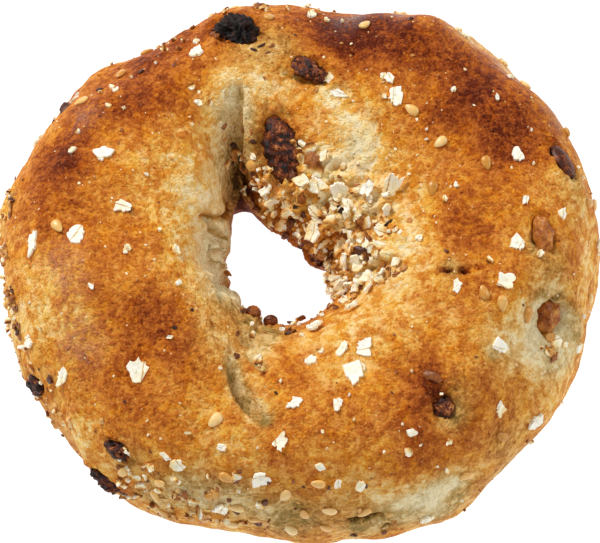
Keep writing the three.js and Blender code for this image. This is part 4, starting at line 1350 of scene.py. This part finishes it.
skins = {kind: fruitFinish(fruit) for kind, fruit in fruits.items()}
ballPoints, ballFaces = icoBall(5)
for name, piece in inclusions.items():
    kind = name.split("_")[0]
    fruit = fruits[kind]
    half = np.array(piece["size"]) / 2
    wrinkles = lumpHeight(ballPoints * half, fruit["wrinkles"], noiseSeeds["wrinkles"])
    depth = craggy.get(name, 1.0) * wrinkles
    reach = half * fruit["form"](ballPoints, piece["at"][0])[:, None] + depth[:, None]
    marks = {"char": np.full(len(ballPoints), charred.get(name, 0.0))}
    body = ballPoints * reach @ piece["axes"] + piece["origin"]
    solid = meshPiece(name + "_fruit", body, ballFaces, skins[kind], marks)
    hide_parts(name)
print("raisins, kernels and nuts:", len(inclusions), "pieces")


# Camera, lights and floor
shot = {
    "elevation": 68.0,
    "distance": 450 * mm,
    "target": (0.0, -0.93 * mm, 15 * mm),
    "fieldWidth": 117 * mm,
}


def makeCamera():
    lens = bpy.data.cameras.new("camera")
    lens.sensor_width = 36
    lens.lens = lens.sensor_width * shot["distance"] / shot["fieldWidth"]
    lens.clip_start, lens.clip_end = 0.01, 10
    camera = bpy.data.objects.new("camera", lens)
    rise = math.radians(shot["elevation"])
    back = Vector((0, -math.cos(rise), math.sin(rise)))
    camera.location = Vector(shot["target"]) + back * shot["distance"]
    camera.rotation_euler = (-back).to_track_quat("-Z", "Y").to_euler()
    bpy.context.scene.collection.objects.link(camera)
    bpy.context.scene.camera = camera


lights = {
    "key": {"at": (-0.55, 0.55, 0.75), "size": 0.45, "watts": 10.2, "tint": (1.0, 0.98, 0.95)},
    "fill": {"at": (0.8, 0.15, 0.5), "size": 0.6, "watts": 3.2, "tint": (1.0, 0.99, 0.98)},
    "front": {"at": (0.1, -0.9, 0.6), "size": 0.8, "watts": 2.4, "tint": (1.0, 1.0, 1.0)},
}
sky = {"tint": (1.0, 0.97, 0.93, 1), "strength": 0.22}


def makeLights():
    for name, light in lights.items():
        lamp = bpy.data.lights.new(name, "AREA")
        lamp.shape = "DISK"
        lamp.size, lamp.energy, lamp.color = light["size"], light["watts"], light["tint"]
        holder = bpy.data.objects.new(name, lamp)
        holder.location = light["at"]
        aim = Vector((0, 0, 0.02)) - Vector(light["at"])
        holder.rotation_euler = aim.to_track_quat("-Z", "Y").to_euler()
        bpy.context.scene.collection.objects.link(holder)
    world = bpy.data.worlds.new("studio")
    world.use_nodes = True
    background = world.node_tree.nodes["Background"]
    background.inputs["Color"].default_value = sky["tint"]
    background.inputs["Strength"].default_value = sky["strength"]
    bpy.context.scene.world = world


floorHalf = 2.0


def makeFloor():
    f = Finish("pale_table")
    finish = f.done(
        Base_Color=f.mix(f.noise(60, 2.0), colour("#848484"), colour("#898989")),
        Roughness=0.8,
        Emission_Color=(1, 1, 1, 1),
        Emission_Strength=1.0,
    )
    mesh = bpy.data.meshes.new("floor")
    corners = [(x * floorHalf, y * floorHalf, 0) for x, y in ((-1, -1), (1, -1), (1, 1), (-1, 1))]
    mesh.from_pydata(corners, [], [(0, 1, 2, 3)])
    mesh.materials.append(finish)
    floor = bpy.data.objects.new("floor", mesh)
    bpy.context.scene.collection.objects.link(floor)


makeCamera()
makeLights()
makeFloor()
bpy.context.scene.view_settings.view_transform = "Standard"
print("camera, lights and floor set")
